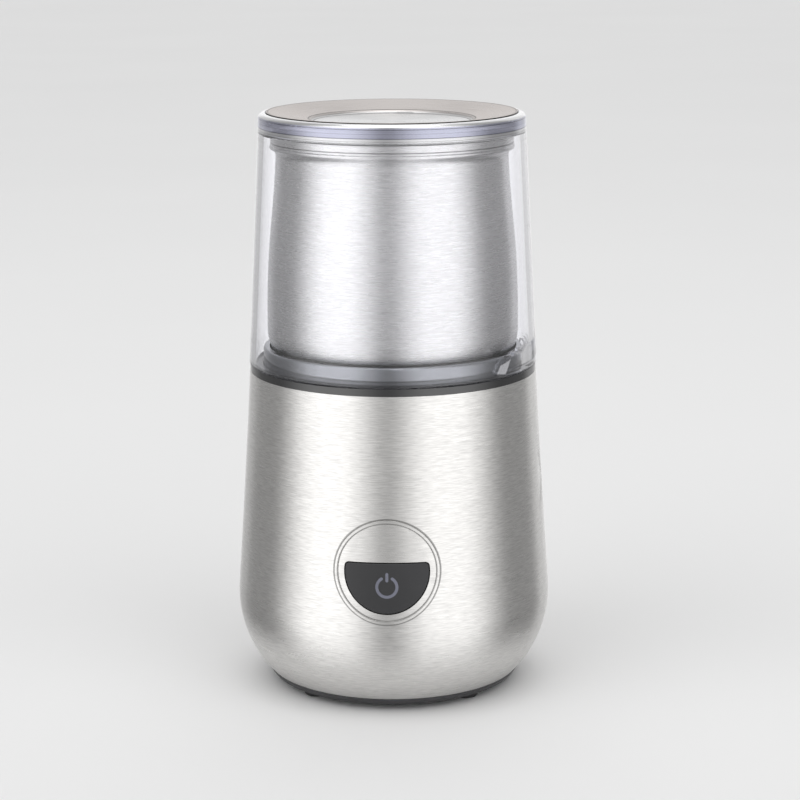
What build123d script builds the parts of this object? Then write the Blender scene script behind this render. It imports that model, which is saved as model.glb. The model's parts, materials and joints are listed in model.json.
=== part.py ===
from build123d import *
from math import atan2, cos, radians, sin, sqrt
import os

os.makedirs("parts", exist_ok=True)

# Electric coffee grinder with a lift-out cup. Millimetres, +Z up, the table at z = 0, the button facing -Y.

# Gaps between pieces
slide_gap = 0.3
seat_gap = 0.2
running_gap = 0.05
thread_gap = 0.05

# Barrel: a steel tube with a rounded foot and a slightly hollow, tapering flank
foot_drop = 2.5
ledge_h = 2.3
shell_h = 107.9
belly_r = 55.6
belly_rise = 27.0
shell_foot_in = 10.6
shell_top_in = 5.2
shell_wall = 0.8
flank_hollow = radians(0.62)

# Black ring on the barrel and the collar round the foot of the cup
ring_h = 2.9
ring_set_back = 0.1
ring_edge = 0.4
collar_rise = 5.9
collar_wall = 2.1
collar_edge_r = 0.8

# Moulded housing inside the barrel
well_depth = 18.1
floor_t = 3.0
well_wall = 2.2
well_gap = 0.5
rim_h = 3.2
flange_t = 2.5
pillar_r = 4.5
pillar_in = 7.5
pillar_count = 4
motor_boss_r = 4.5
motor_boss_h = 3.5
boss_in = 3.5

# Cup: outside of the steel bowl
cup_belly_out = 1.07
cup_corner_r = 14.0
cup_belly_h = 4.0
cup_swell_in = 1.97
cup_swell_rise = 53.5
cup_neck_in = 3.62
cup_neck_drop = 7.4
cup_flare_h = 2.6
cup_rim_out = 1.75
cup_bead = 0.35
cup_bead_h = 1.4
cup_head = 1.6
cup_wall = 0.8
cup_foot_in = 7.5
cup_foot_h = 15.8
cup_foot_wall = 2.2
cup_foot_top = 2.5
key_rib_count = 3
key_rib_w = 5.0
key_rib_out = 1.0
key_rib_h = 9.0

# Clear lid and the steel disc let into its top
lid_gap = 0.25
lid_h = 86.75
lid_foot_out = 0.2
lid_top_in = 4.35
lid_wall = 2.2
lid_edge_r = 2.0
lid_corner_r = 1.5
lid_plate_t = 1.3
disc_film = 0.1
disc_in = 2.65
disc_gap = 0.35
disc_t = 0.9
disc_edge_rise = 0.4
disc_edge_r = 0.35
disc_slope_drop = 2.6
disc_step_in = 14.7
disc_step_w = 1.7
disc_step_drop = 1.1

# Interlock: a key inside the lid pushes a rod down on to a snap switch
key_angle = -12.0
key_foot_w = 41.0
key_w = 33.4
key_rise = 5.9
key_ledge_h = 1.2
key_ledge_in = 1.7
key_ledge_w = 0.8
key_ledges = 2
tongue_w = 8.0
tongue_t = 1.6
tongue_drop = 7.35
tongue_play = 0.1
rod_r = 1.0
rod_head_h = 8.2
rod_travel = 3.0
rod_flange_r = 3.2
rod_flange_t = 1.5
guide_w = 12.0
guide_wall = 1.0
guide_floor_t = 1.5
switch_plate_t = 2.0
shelf_t = 2.0
spring_wire = 0.6
spring_r = 2.6
spring_h = 8.0
spring_turns = 4

# Snap switches
switch_l = 19.8
switch_t = 6.4
switch_h = 10.0
plunger_r = 1.4
terminal_l = 3.5
terminal_w = 3.2
terminal_t = 0.6

# Button and its surround
bezel_rise = 48.2
bezel_r = 18.0
bezel_ring_w = 1.3
bezel_edge_r = 0.3
bezel_lap = 0.8
bezel_proud = 0.6
bezel_panel_proud = 0.1
bezel_depth = 4.4
button_r = 14.2
button_chord = 3.1
button_corner_r = 1.2
button_gap = 0.35
button_proud = 0.4
button_depth = 6.7
button_face_t = 3.3
button_wall = 1.6
button_edge_r = 0.4
button_travel = 2.0
stem_r = 2.5
carrier_r = 16.0
carrier_depth = 10.8
carrier_floor_t = 1.5
cradle_t = 1.5

# Base and its feet
base_in = 1.25
base_t = 2.8
base_edge_h = 0.8
base_lip_h = 3.7
base_lip_t = 2.0
base_boss_r = 6.2
base_boss_h = 7.5
foot_r = 4.0
foot_recess = 1.6
foot_edge = 0.6
vent_count = 12
vent_w = 2.4
vent_l = 11.0
vent_in = 5.0
screw_r = 1.5
screw_head_r = 3.1
screw_head_h = 2.4
base_screw_l = 17.0

# Motor
shaft_r = 3.0
shaft_end = 0.5
damper_h = 4.0
damper_r = 4.4
damper_neck_r = 3.0
damper_skirt_t = 1.2
bracket_t = 3.0
bracket_in = 1.5
bracket_hub_r = 9.0
bracket_hub_h = 8.0
bracket_hub_drop = 2.0
window_rim = 3.75
bracket_head_h = 2.0
bearing_r = 6.0
motor_gap = 2.0
switch_clear = 0.5
fan_clear = 3.7
yoke_share = 0.177
bore_share = 0.558
neck_share = 0.58
upper_post_h = 12.0
lower_post_h = 25.0
pole_shoe_t = 2.5
coil_gap = 0.3
coil_w = 6.5
bolt_in = 2.7
bolt_post_r = 3.6
air_gap = 0.6
slot_count = 12
slot_w = 2.6
slot_depth = 6.0
winding_rise = 7.0
winding_sink = 1.2
winding_sleeve_t = 2.5
winding_edge = 2.4
commutator_r = 9.0
commutator_h = 10.0
riser_r = 11.0
riser_h = 2.0
commutator_lift = 4.0
segment_count = 12
segment_cut = 0.6
brush_w = 7.0
brush_h = 5.0
brush_l = 11.0
holder_wall = 0.9
holder_l = 15.0
brush_out = 1.5
brush_gap = 0.1
leaf_t = 0.4
leaf_w = 2.5
leaf_swing = 1.9
leaf_bends = 5
fan_in = 7.0
fan_h = 8.0
fan_plate_t = 1.2
fan_hub_r = 6.0
fan_drop = 3.0
fan_blade_count = 10
fan_blade_t = 1.3
fan_middle_in = 9.0
fan_lead = radians(8)
fan_sweep = radians(20)

# Drive from the motor to the blade
coupling_lift = 0.5
drive_r = 11.0
drive_h = 8.0
drive_pocket = 4.7
drive_edge = 0.6
driven_core_r = 5.2
driven_tooth_r = 8.2
driven_tooth_w = 3.2
driven_tooth_count = 6
driven_h = 4.9
seal_r = 8.0
seal_lip_h = 1.2
bush_r = 7.0
bush_flange_r = 11.0
bush_flange_t = 2.0
bush_edge = 0.6
gasket_t = 1.0
nut_h = 2.2
nut_flat = 19.0
blade_shoulder_r = 4.5
blade_shoulder_h = 2.0
blade_t = 1.5
blade_tip_in = 8.0
blade_w = 12.0
blade_hub_l = 16.0
blade_tip_l = 12.0
blade_taper_l = 7.0
blade_tip_lead = 4.8
blade_tip_back = 3.0
blade_tip_slant = 1.0
blade_up = 5.0
blade_down = 2.4
blade_bolt_r = 2.5
washer_r = 5.5
washer_t = 0.8
blade_nut_flat = 9.0
blade_nut_h = 3.0
blade_nut_dome = 2.0
blade_nut_step = 0.2

# Electrics at the back
board_margin = 3.5
board_h = 30.0
board_t = 1.6
board_z = 27.0
board_boss_w = 6.0
board_boss_h = 8.0
capacitor_w = 18.0
capacitor_h = 14.0
capacitor_d = 9.0
block_w = 17.0
block_h = 8.0
block_d = 9.0
block_rise = 1.0
block_screw_r = 2.2
gland_z = 17.0
gland_r = 7.0
gland_neck_r = 5.2
gland_bore_r = 3.4
gland_flange_t = 1.2

# Heights that follow
shell_bottom_z = foot_drop + ledge_h
belly_z = shell_bottom_z + belly_rise
shell_top_z = shell_bottom_z + shell_h
bezel_z = shell_bottom_z + bezel_rise
ring_top_z = shell_top_z + ring_h
well_floor_z = ring_top_z - well_depth
floor_under_z = well_floor_z - floor_t
collar_seat_z = shell_top_z - rim_h
flange_under_z = collar_seat_z - flange_t
collar_top_z = ring_top_z + collar_rise
pillar_foot_z = foot_drop + base_boss_h
screw_seat_z = foot_drop + foot_recess + seat_gap + screw_head_h
lid_bottom_z = ring_top_z + lid_gap
lid_top_z = lid_bottom_z + lid_h
cup_bottom_z = well_floor_z + seat_gap + cup_foot_h
cup_inner_z = cup_bottom_z + cup_wall
ceiling_z = lid_top_z + disc_edge_rise - disc_t - disc_film - disc_slope_drop - disc_step_drop - lid_plate_t
cup_top_z = ceiling_z - cup_head
bush_top_z = cup_inner_z + gasket_t + bush_flange_t
drive_z = well_floor_z + coupling_lift
driven_z = drive_z + drive_h - drive_pocket + slide_gap
driven_top_z = driven_z + driven_h
nut_z = driven_top_z + slide_gap
foot_hub_z = nut_z + nut_h
blade_z = bush_top_z + seat_gap + blade_shoulder_h
motor_boss_z = floor_under_z - motor_boss_h
fan_z = foot_drop + base_t + fan_clear
lower_bracket_z = fan_z + fan_h + fan_drop
upper_bracket_z = motor_boss_z - damper_h - bracket_t
stator_top_z = upper_bracket_z - upper_post_h
stator_z = lower_bracket_z + bracket_t + lower_post_h
stator_h = stator_top_z - stator_z
commutator_z = lower_bracket_z + bracket_t + commutator_lift
brush_z = commutator_z + commutator_h / 2
tongue_z = lid_bottom_z - tongue_drop
rod_top_z = tongue_z - slide_gap
rod_flange_z = floor_under_z - rod_travel - slide_gap - rod_flange_t
shelf_z = rod_flange_z - spring_h - shelf_t
interlock_switch_top_z = shelf_z - seat_gap
interlock_switch_z = interlock_switch_top_z - switch_h

# Radii that follow, from the barrel inwards
shell_foot_r = belly_r - shell_foot_in
shell_top_r = belly_r - shell_top_in
cup_foot_r = shell_top_r - cup_foot_in
cup_belly_r = cup_foot_r + cup_belly_out
cup_swell_r = cup_belly_r - cup_swell_in
cup_neck_r = cup_belly_r - cup_neck_in
cup_rim_r = cup_neck_r + cup_rim_out
lid_foot_r = shell_top_r + lid_foot_out
lid_top_r = lid_foot_r - lid_top_in
disc_r = lid_top_r - disc_in
disc_step_r = disc_r - disc_step_in
base_r = shell_foot_r - base_in
blade_tip_r = cup_swell_r - blade_tip_in
pillar_place_r = shell_foot_r - pillar_in
stator_r = pillar_place_r - pillar_r - motor_gap
stator_bore_r = bore_share * stator_r
stator_yoke = yoke_share * stator_r
pole_neck_w = neck_share * stator_r
pole_gap_w = pole_neck_w + 2 * coil_gap
bolt_place_r = stator_r - bolt_in
bracket_r = stator_r - bracket_in
boss_place_r = bracket_r - boss_in
window_place_r = (bracket_hub_r + bracket_r) / 2
window_r = (bracket_r - bracket_hub_r) / 2 - window_rim
fan_r = stator_r - fan_in
fan_middle_r = fan_r - fan_middle_in
vent_place_r = fan_r - vent_in
flank_angle = atan2(belly_r - shell_top_r, shell_top_z - belly_z) + flank_hollow
ring_r = shell_top_r - ring_set_back
well_r = cup_foot_r + well_gap
collar_r = well_r + collar_wall
ring_bore_r = collar_r + seat_gap
well_outer_r = well_r + well_wall
flange_r = shell_top_r - shell_wall - seat_gap
shoulder_r = ((belly_r - shell_foot_r) ** 2 + belly_rise ** 2) / (2 * (belly_r - shell_foot_r))
shoulder_x = belly_r - shoulder_r
base_lip_r = shoulder_x + sqrt((shoulder_r - shell_wall) ** 2 - belly_rise**2) - seat_gap
armature_r = stator_bore_r - air_gap
slot_floor_r = armature_r - slot_depth
bearing_bore_r = shaft_r + running_gap
thread_hole_r = screw_r + thread_gap
winding_r = armature_r - winding_sink
winding_core_r = shaft_r + winding_sleeve_t
cup_corner_x = cup_belly_r - cup_corner_r
neck_top_z = cup_top_z - cup_neck_drop
bead_z = neck_top_z + cup_flare_h
holder_place_r = commutator_r + brush_out + holder_l / 2
lid_lean = (lid_foot_r - lid_top_r) / (lid_h - lid_edge_r)
leaf_start_r = commutator_r + brush_l + leaf_t
leaf_end_r = holder_place_r + holder_l / 2 - holder_wall - leaf_t


def flank_r(z):
    """Outside radius of the barrel's flank at height z, taking the flank as straight."""
    start_z = belly_z + shoulder_r * sin(flank_angle)
    start_r = shoulder_x + shoulder_r * cos(flank_angle)
    return start_r + (shell_top_r - start_r) * (z - start_z) / (shell_top_z - start_z)


def lid_inner_r(z):
    """Inside radius of the lid's wall at height z."""
    return lid_foot_r - lid_wall - lid_lean * (z - lid_bottom_z)


front_r = flank_r(bezel_z)
bezel_back_y = front_r - bezel_depth
gland_back_y = shell_foot_r
carrier_back_y = front_r - carrier_depth
carrier_floor_y = carrier_back_y + carrier_floor_t
switch_front_y = carrier_back_y - seat_gap - button_travel - slide_gap
stem_end_y = switch_front_y + button_travel + slide_gap / 2
stator_flat = switch_front_y - switch_h - terminal_l - switch_clear
rod_place_r = collar_r + seat_gap + tongue_t / 2 + slide_gap + tongue_play
pillar_place = pillar_place_r * sin(radians(45))
board_w = 2 * (pillar_place + board_margin)
board_front_y = pillar_place + pillar_r + seat_gap
slot_clear = tongue_t + 2 * slide_gap + 2 * tongue_play
key_plane = Plane.XY.rotated((0, 0, key_angle))
key_r = collar_r + slide_gap + tongue_play


def barrel_side(grow):
    """Draws the barrel's outline, moved outwards by grow, and returns its two ends."""
    reach = shoulder_r + grow
    low = (shoulder_x + sqrt(reach**2 - belly_rise**2), shell_bottom_z)
    start = (shoulder_x + reach * cos(flank_angle), belly_z + reach * sin(flank_angle))
    high = (shell_top_r + grow, shell_top_z)
    shoulder = ThreePointArc(low, (shoulder_x + reach, belly_z), start)
    TangentArc(start, high, tangent=shoulder % 1)
    return low, high


def barrel_half(grow):
    """The half section of a solid barrel, moved outwards by grow."""
    with BuildLine() as half:
        low, high = barrel_side(grow)
        Polyline(high, (0, shell_top_z), (0, shell_bottom_z), low)
    make_face(half.edges())


def button_outline(gap):
    """The D of the button, grown by gap: a circle cut by a level chord, with its two corners rounded."""
    with BuildSketch(mode=Mode.PRIVATE) as outline:
        with Locations((0, bezel_z)):
            Circle(button_r + gap)
        with Locations((0, bezel_z + button_chord + gap)):
            Rectangle(2 * bezel_r, bezel_r, align=(Align.CENTER, Align.MIN), mode=Mode.SUBTRACT)
        fillet(outline.vertices().group_by(Axis.Y)[-1], button_corner_r + max(gap, 0))
    return outline.sketch


def tongue_notch():
    """The notch for the lid's tongue, open towards the collar."""
    with Locations((rod_place_r + slot_clear / 2, 0)):
        Rectangle(2 * slot_clear, tongue_w + 2 * slide_gap, align=(Align.MAX, Align.CENTER))


def snap_switch(plane):
    """A snap switch that stands on plane, with its plunger hole on top and three terminals below."""
    with BuildPart() as switch:
        with BuildSketch(plane):
            Rectangle(switch_l, switch_t)
        extrude(amount=switch_h)
        with BuildSketch(plane.offset(switch_h)):
            Circle(plunger_r + running_gap)
        extrude(amount=-button_travel - slide_gap, mode=Mode.SUBTRACT)
        with BuildSketch(plane):
            with GridLocations(switch_l / 3, 0, 3, 1):
                Rectangle(terminal_t, terminal_w)
        extrude(amount=-terminal_l)
    return switch


# Outer shell: the steel barrel with the button hole in front and the cord hole behind
with BuildPart() as outer_shell:
    with BuildSketch(Plane.XZ):
        with BuildLine():
            outer_low, outer_high = barrel_side(0)
            inner_low, inner_high = barrel_side(-shell_wall)
            Line(outer_low, inner_low)
            Line(outer_high, inner_high)
        make_face()
    revolve(axis=Axis.Z)
    with BuildSketch(Plane.XZ):
        with Locations((0, bezel_z)):
            Circle(bezel_r - bezel_lap)
    extrude(amount=belly_r, mode=Mode.SUBTRACT)
    with BuildSketch(Plane.XZ):
        with Locations((0, gland_z)):
            Circle(gland_neck_r)
    extrude(amount=-belly_r, mode=Mode.SUBTRACT)
outer_shell.part.label = "outer_shell"
export_step(outer_shell.part, "parts/outer_shell.step")

# Trim ring, notched for the lid's tongue
with BuildPart() as trim_ring:
    with BuildSketch(Plane.XY.offset(shell_top_z)):
        Circle(ring_r)
        Circle(ring_bore_r, mode=Mode.SUBTRACT)
    extrude(amount=ring_h)
    chamfer(trim_ring.faces().sort_by(Axis.Z)[-1].edges().sort_by(SortBy.LENGTH)[-1], ring_edge)
    with BuildSketch(key_plane.offset(shell_top_z)):
        tongue_notch()
    extrude(amount=ring_h, mode=Mode.SUBTRACT)
trim_ring.part.label = "trim_ring"
export_step(trim_ring.part, "parts/trim_ring.step")

# Collar that stands up round the foot of the cup, grooved inside for the foot's key ribs
with BuildPart() as cup_collar:
    with BuildSketch(Plane.XY.offset(collar_seat_z)):
        Circle(collar_r)
        Circle(well_r, mode=Mode.SUBTRACT)
        with PolarLocations(well_r, key_rib_count, start_angle=90):
            Rectangle(2 * key_rib_out, key_rib_w + 2 * slide_gap, mode=Mode.SUBTRACT)
    extrude(amount=collar_top_z - collar_seat_z)
    fillet(cup_collar.faces().sort_by(Axis.Z)[-1].edges().sort_by(SortBy.LENGTH)[-1], collar_edge_r)
cup_collar.part.label = "cup_collar"
export_step(cup_collar.part, "parts/cup_collar.step")

# Inner housing: the well for the cup, the flange under the ring, the pillars and the motor bosses
with BuildPart() as inner_housing:
    with BuildSketch(Plane.XZ):
        with BuildLine():
            Polyline(
                (seal_r, floor_under_z),
                (well_outer_r, floor_under_z),
                (well_outer_r, flange_under_z),
                (flange_r, flange_under_z),
                (flange_r, shell_top_z),
                (ring_bore_r, shell_top_z),
                (ring_bore_r, collar_seat_z),
                (well_r, collar_seat_z),
                (well_r, well_floor_z),
                (seal_r, well_floor_z),
                close=True,
            )
        make_face()
    revolve(axis=Axis.Z)
    with BuildSketch(Plane.XY.offset(well_floor_z)):
        with PolarLocations(well_r, key_rib_count, start_angle=90):
            Rectangle(2 * key_rib_out, key_rib_w + 2 * slide_gap)
    extrude(amount=collar_seat_z - well_floor_z, mode=Mode.SUBTRACT)
    with BuildSketch(Plane.XY.offset(pillar_foot_z)):
        with PolarLocations(pillar_place_r, pillar_count, start_angle=45):
            Circle(pillar_r)
    extrude(amount=floor_under_z - pillar_foot_z)
    with BuildSketch(Plane.XY.offset(motor_boss_z)):
        with PolarLocations(boss_place_r, 4):
            Circle(motor_boss_r)
    extrude(amount=motor_boss_h)
    with BuildSketch(Plane.XY.offset(pillar_foot_z)):
        with PolarLocations(pillar_place_r, pillar_count, start_angle=45):
            Circle(thread_hole_r)
    extrude(amount=base_screw_l, mode=Mode.SUBTRACT)
    with BuildSketch(Plane.XY.offset(motor_boss_z)):
        with PolarLocations(boss_place_r, 4):
            Circle(thread_hole_r)
    extrude(amount=motor_boss_h + floor_t / 2, mode=Mode.SUBTRACT)
    # Guide for the interlock rod, on the outside of the well
    with BuildSketch(key_plane.offset(floor_under_z)):
        with Locations((rod_place_r, 0)):
            Rectangle(slot_clear + 2 * guide_wall, guide_w)
    extrude(amount=flange_under_z - floor_under_z)
    with BuildSketch(key_plane.offset(floor_under_z + guide_floor_t)):
        with Locations((rod_place_r, 0)):
            Rectangle(slot_clear, tongue_w + 2 * slide_gap)
    extrude(amount=shell_top_z - floor_under_z, mode=Mode.SUBTRACT)
    with BuildSketch(key_plane.offset(collar_seat_z)):
        tongue_notch()
    extrude(amount=rim_h, mode=Mode.SUBTRACT)
    with BuildSketch(key_plane.offset(floor_under_z)):
        with Locations((rod_place_r, 0)):
            Circle(rod_r + running_gap)
    extrude(amount=guide_floor_t, mode=Mode.SUBTRACT)
    # Plate and shelf that carry the interlock's switch and spring
    with BuildSketch(key_plane.offset(interlock_switch_z)):
        with Locations((rod_place_r - switch_t / 2 - switch_plate_t / 2, 0)):
            Rectangle(switch_plate_t, switch_l)
    extrude(amount=floor_under_z - interlock_switch_z)
    with BuildSketch(key_plane.offset(shelf_z)):
        with Locations((rod_place_r - switch_t / 2, 0)):
            Rectangle(switch_t, guide_w - switch_plate_t, align=(Align.MIN, Align.CENTER))
        with Locations((rod_place_r, 0)):
            Circle(rod_r + running_gap, mode=Mode.SUBTRACT)
    extrude(amount=shelf_t)
    # Bosses on the two rear pillars for the circuit board
    with BuildSketch(Plane.XZ.offset(-board_front_y)):
        with Locations((0, board_z + board_h / 2)):
            with GridLocations(2 * pillar_place, 0, 2, 1):
                Rectangle(board_boss_w, board_boss_h)
    extrude(amount=pillar_r + board_front_y - pillar_place)
inner_housing.part.label = "inner_housing"
export_step(inner_housing.part, "parts/inner_housing.step")

# Shaft seal in the floor of the well, with a raised lip round the shaft
with BuildPart() as shaft_seal:
    with BuildSketch(Plane.XZ):
        with BuildLine():
            Polyline(
                (bearing_bore_r, well_floor_z),
                (seal_r, well_floor_z),
                (seal_r, floor_under_z),
                (seal_r / 2, floor_under_z),
                (bearing_bore_r, well_floor_z - seal_lip_h),
                close=True,
            )
        make_face()
    revolve(axis=Axis.Z)
shaft_seal.part.label = "shaft_seal"
export_step(shaft_seal.part, "parts/shaft_seal.step")

# Cord gland: a rubber grommet moulded to the curve of the barrel, empty where the cord would pass
with BuildPart() as gland_groove:
    with BuildSketch(Plane.XZ):
        with BuildLine():
            outer_low, outer_high = barrel_side(0)
            inner_low, inner_high = barrel_side(-shell_wall)
            Line(outer_low, inner_low)
            Line(outer_high, inner_high)
        make_face()
    revolve(axis=Axis.Z)
    with BuildSketch(Plane.XZ):
        with Locations((0, gland_z)):
            Circle(gland_neck_r)
    extrude(amount=-belly_r, mode=Mode.SUBTRACT)
with BuildPart() as cord_gland:
    with BuildSketch(Plane.XZ.offset(-gland_back_y)):
        with Locations((0, gland_z)):
            Circle(gland_r)
            Circle(gland_bore_r, mode=Mode.SUBTRACT)
    extrude(amount=-belly_r + gland_back_y)
    with BuildSketch(Plane.XZ):
        barrel_half(gland_flange_t)
    revolve(axis=Axis.Z, mode=Mode.INTERSECT)
    add(gland_groove.part, mode=Mode.SUBTRACT)
cord_gland.part.label = "cord_gland"
export_step(cord_gland.part, "parts/cord_gland.step")

# Button surround: a plug in the barrel's hole with a raised edge on the barrel's face
with BuildPart() as bezel_plug:
    with BuildSketch(Plane.XZ.offset(bezel_back_y)):
        with Locations((0, bezel_z)):
            Circle(bezel_r - bezel_lap)
    extrude(amount=bezel_r)
    with BuildSketch(Plane.XZ):
        barrel_half(bezel_panel_proud)
    revolve(axis=Axis.Z, mode=Mode.INTERSECT)
with BuildPart() as bezel_bed:
    with BuildSketch(Plane.XZ):
        barrel_half(0)
    revolve(axis=Axis.Z)
with BuildPart() as button_bezel:
    with BuildSketch(Plane.XZ.offset(bezel_back_y)):
        with Locations((0, bezel_z)):
            Circle(bezel_r)
            Circle(bezel_r - bezel_ring_w, mode=Mode.SUBTRACT)
    extrude(amount=bezel_r)
    with BuildSketch(Plane.XZ):
        barrel_half(bezel_proud)
    revolve(axis=Axis.Z, mode=Mode.INTERSECT)
    add(bezel_bed.part, mode=Mode.SUBTRACT)
    fillet(button_bezel.faces().sort_by(Axis.Y)[0].edges(), bezel_edge_r)
    add(bezel_plug.part)
    with BuildSketch(Plane.XZ.offset(bezel_back_y)):
        add(button_outline(button_gap))
    extrude(amount=bezel_r, mode=Mode.SUBTRACT)
button_bezel.part.label = "button_bezel"
export_step(button_bezel.part, "parts/button_bezel.step")

# Button: a D-shaped cap that follows the barrel's curve, hollow behind, with its stem
with BuildPart() as button_cap:
    with BuildSketch(Plane.XZ.offset(front_r - button_depth)):
        add(button_outline(0))
    extrude(amount=bezel_r)
    with BuildSketch(Plane.XZ):
        barrel_half(button_proud)
    revolve(axis=Axis.Z, mode=Mode.INTERSECT)
    fillet(button_cap.faces().sort_by(Axis.Y)[0].edges(), button_edge_r)
    with BuildSketch(Plane.XZ.offset(front_r - button_depth)):
        add(button_outline(-button_wall))
    extrude(amount=button_depth - button_face_t, mode=Mode.SUBTRACT)
    with BuildSketch(Plane.XZ.offset(stem_end_y)):
        with Locations((0, bezel_z)):
            Circle(stem_r)
    extrude(amount=front_r - button_face_t - stem_end_y)
button_cap.part.label = "button_cap"
export_step(button_cap.part, "parts/button_cap.step")

# Switch plunger, which the stem of the button pushes
with BuildPart() as switch_plunger:
    with BuildSketch(Plane.XZ.offset(switch_front_y - slide_gap)):
        with Locations((0, bezel_z)):
            Circle(plunger_r)
    extrude(amount=stem_end_y - switch_front_y + slide_gap)
switch_plunger.part.label = "switch_plunger"
export_step(switch_plunger.part, "parts/switch_plunger.step")

# Button carrier behind the surround: a guide for the cap, and a cradle for the switch
with BuildPart() as button_carrier:
    with BuildSketch(Plane.XZ.offset(carrier_back_y)):
        with Locations((0, bezel_z)):
            Circle(carrier_r)
    extrude(amount=bezel_back_y - carrier_back_y)
    with BuildSketch(Plane.XZ.offset(carrier_floor_y)):
        add(button_outline(button_gap))
    extrude(amount=bezel_back_y - carrier_floor_y, mode=Mode.SUBTRACT)
    with BuildSketch(Plane.XZ.offset(carrier_back_y)):
        with Locations((0, bezel_z)):
            Circle(stem_r + slide_gap)
    extrude(amount=carrier_floor_t, mode=Mode.SUBTRACT)
    with BuildSketch(Plane.XZ.offset(switch_front_y - switch_h)):
        with Locations((0, bezel_z)):
            with GridLocations(switch_l + cradle_t, 0, 2, 1):
                Rectangle(cradle_t, switch_t)
    extrude(amount=carrier_back_y - switch_front_y + switch_h)
button_carrier.part.label = "button_carrier"
export_step(button_carrier.part, "parts/button_carrier.step")

# Power switch in the carrier's cradle
power_plane = Plane(origin=(0, switch_h - switch_front_y, bezel_z), x_dir=(1, 0, 0), z_dir=(0, -1, 0))
power_switch = snap_switch(power_plane)
power_switch.part.label = "power_switch"
export_step(power_switch.part, "parts/power_switch.step")

# Interlock switch under the rod
interlock_plane = Plane(
    origin=(
        rod_place_r * cos(radians(key_angle)),
        rod_place_r * sin(radians(key_angle)),
        interlock_switch_z,
    ),
    x_dir=(-sin(radians(key_angle)), cos(radians(key_angle)), 0),
    z_dir=(0, 0, 1),
)
interlock_switch = snap_switch(interlock_plane)
interlock_switch.part.label = "interlock_switch"
export_step(interlock_switch.part, "parts/interlock_switch.step")

# Interlock rod: a flat head in the guide, a round shank with a flange for the spring
with BuildPart() as interlock_rod:
    with BuildSketch(key_plane.offset(rod_top_z)):
        with Locations((rod_place_r, 0)):
            Rectangle(tongue_t, tongue_w)
    extrude(amount=-rod_head_h)
    with BuildSketch(key_plane.offset(interlock_switch_top_z - seat_gap)):
        with Locations((rod_place_r, 0)):
            Circle(rod_r)
    extrude(amount=rod_top_z - rod_head_h - interlock_switch_top_z + seat_gap)
    with BuildSketch(key_plane.offset(rod_flange_z)):
        with Locations((rod_place_r, 0)):
            Circle(rod_flange_r)
    extrude(amount=rod_flange_t)
interlock_rod.part.label = "interlock_rod"
export_step(interlock_rod.part, "parts/interlock_rod.step")

# Interlock spring between the shelf and the rod's flange
with BuildPart() as interlock_spring:
    spring_foot = Vector(
        rod_place_r * cos(radians(key_angle)),
        rod_place_r * sin(radians(key_angle)),
        shelf_z + shelf_t + spring_wire / 2,
    )
    with BuildLine() as spring_line:
        Helix((spring_h - spring_wire) / spring_turns, spring_h - spring_wire, spring_r, center=spring_foot)
    with BuildSketch(Plane(origin=spring_line.line @ 0, z_dir=spring_line.line % 0)):
        Rectangle(spring_wire, spring_wire)
    sweep(path=spring_line.line, is_frenet=True)
interlock_spring.part.label = "interlock_spring"
export_step(interlock_spring.part, "parts/interlock_spring.step")

# Base plate: ledge for the barrel, locating lip, vents under the fan, foot and screw recesses
with BuildPart() as base_plate:
    with BuildSketch(Plane.XZ):
        with BuildLine():
            Polyline(
                (0, foot_drop),
                (base_r, foot_drop),
                (shell_foot_r - seat_gap, shell_bottom_z - base_edge_h),
                (shell_foot_r - seat_gap, shell_bottom_z),
                (base_lip_r, shell_bottom_z),
                (base_lip_r, shell_bottom_z + base_lip_h),
                (base_lip_r - base_lip_t, shell_bottom_z + base_lip_h),
                (base_lip_r - base_lip_t, foot_drop + base_t),
                (0, foot_drop + base_t),
                close=True,
            )
        make_face()
    revolve(axis=Axis.Z)
    with BuildSketch(Plane.XY.offset(foot_drop)):
        with PolarLocations(pillar_place_r, pillar_count, start_angle=45):
            Circle(base_boss_r)
    extrude(amount=base_boss_h)
    with BuildSketch(Plane.XY.offset(foot_drop)):
        with PolarLocations(pillar_place_r, pillar_count, start_angle=45):
            Circle(foot_r)
    extrude(amount=foot_recess, mode=Mode.SUBTRACT)
    with BuildSketch(Plane.XY.offset(foot_drop)):
        with PolarLocations(pillar_place_r, pillar_count, start_angle=45):
            Circle(screw_head_r + seat_gap)
    extrude(amount=screw_seat_z - foot_drop, mode=Mode.SUBTRACT)
    with BuildSketch(Plane.XY.offset(foot_drop)):
        with PolarLocations(pillar_place_r, pillar_count, start_angle=45):
            Circle(screw_r + seat_gap)
        with PolarLocations(vent_place_r, vent_count):
            Rectangle(vent_l, vent_w)
    extrude(amount=base_boss_h, mode=Mode.SUBTRACT)
base_plate.part.label = "base_plate"
export_step(base_plate.part, "parts/base_plate.step")

# Rubber feet in the recesses of the base
with BuildPart() as rubber_feet:
    with BuildSketch(Plane.XY):
        with PolarLocations(pillar_place_r, pillar_count, start_angle=45):
            Circle(foot_r)
    extrude(amount=foot_drop + foot_recess)
    chamfer(rubber_feet.faces().filter_by(Axis.Z).group_by(Axis.Z)[0].edges(), foot_edge)
rubber_feet.part.label = "rubber_feet"
export_step(rubber_feet.part, "parts/rubber_feet.step")

# Base screws, hidden above the feet
with BuildPart() as base_screws:
    with BuildSketch(Plane.XY.offset(screw_seat_z - screw_head_h)):
        with PolarLocations(pillar_place_r, pillar_count, start_angle=45):
            Circle(screw_head_r)
    extrude(amount=screw_head_h)
    with BuildSketch(Plane.XY.offset(screw_seat_z)):
        with PolarLocations(pillar_place_r, pillar_count, start_angle=45):
            Circle(screw_r)
    extrude(amount=base_screw_l)
base_screws.part.label = "base_screws"
export_step(base_screws.part, "parts/base_screws.step")

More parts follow.
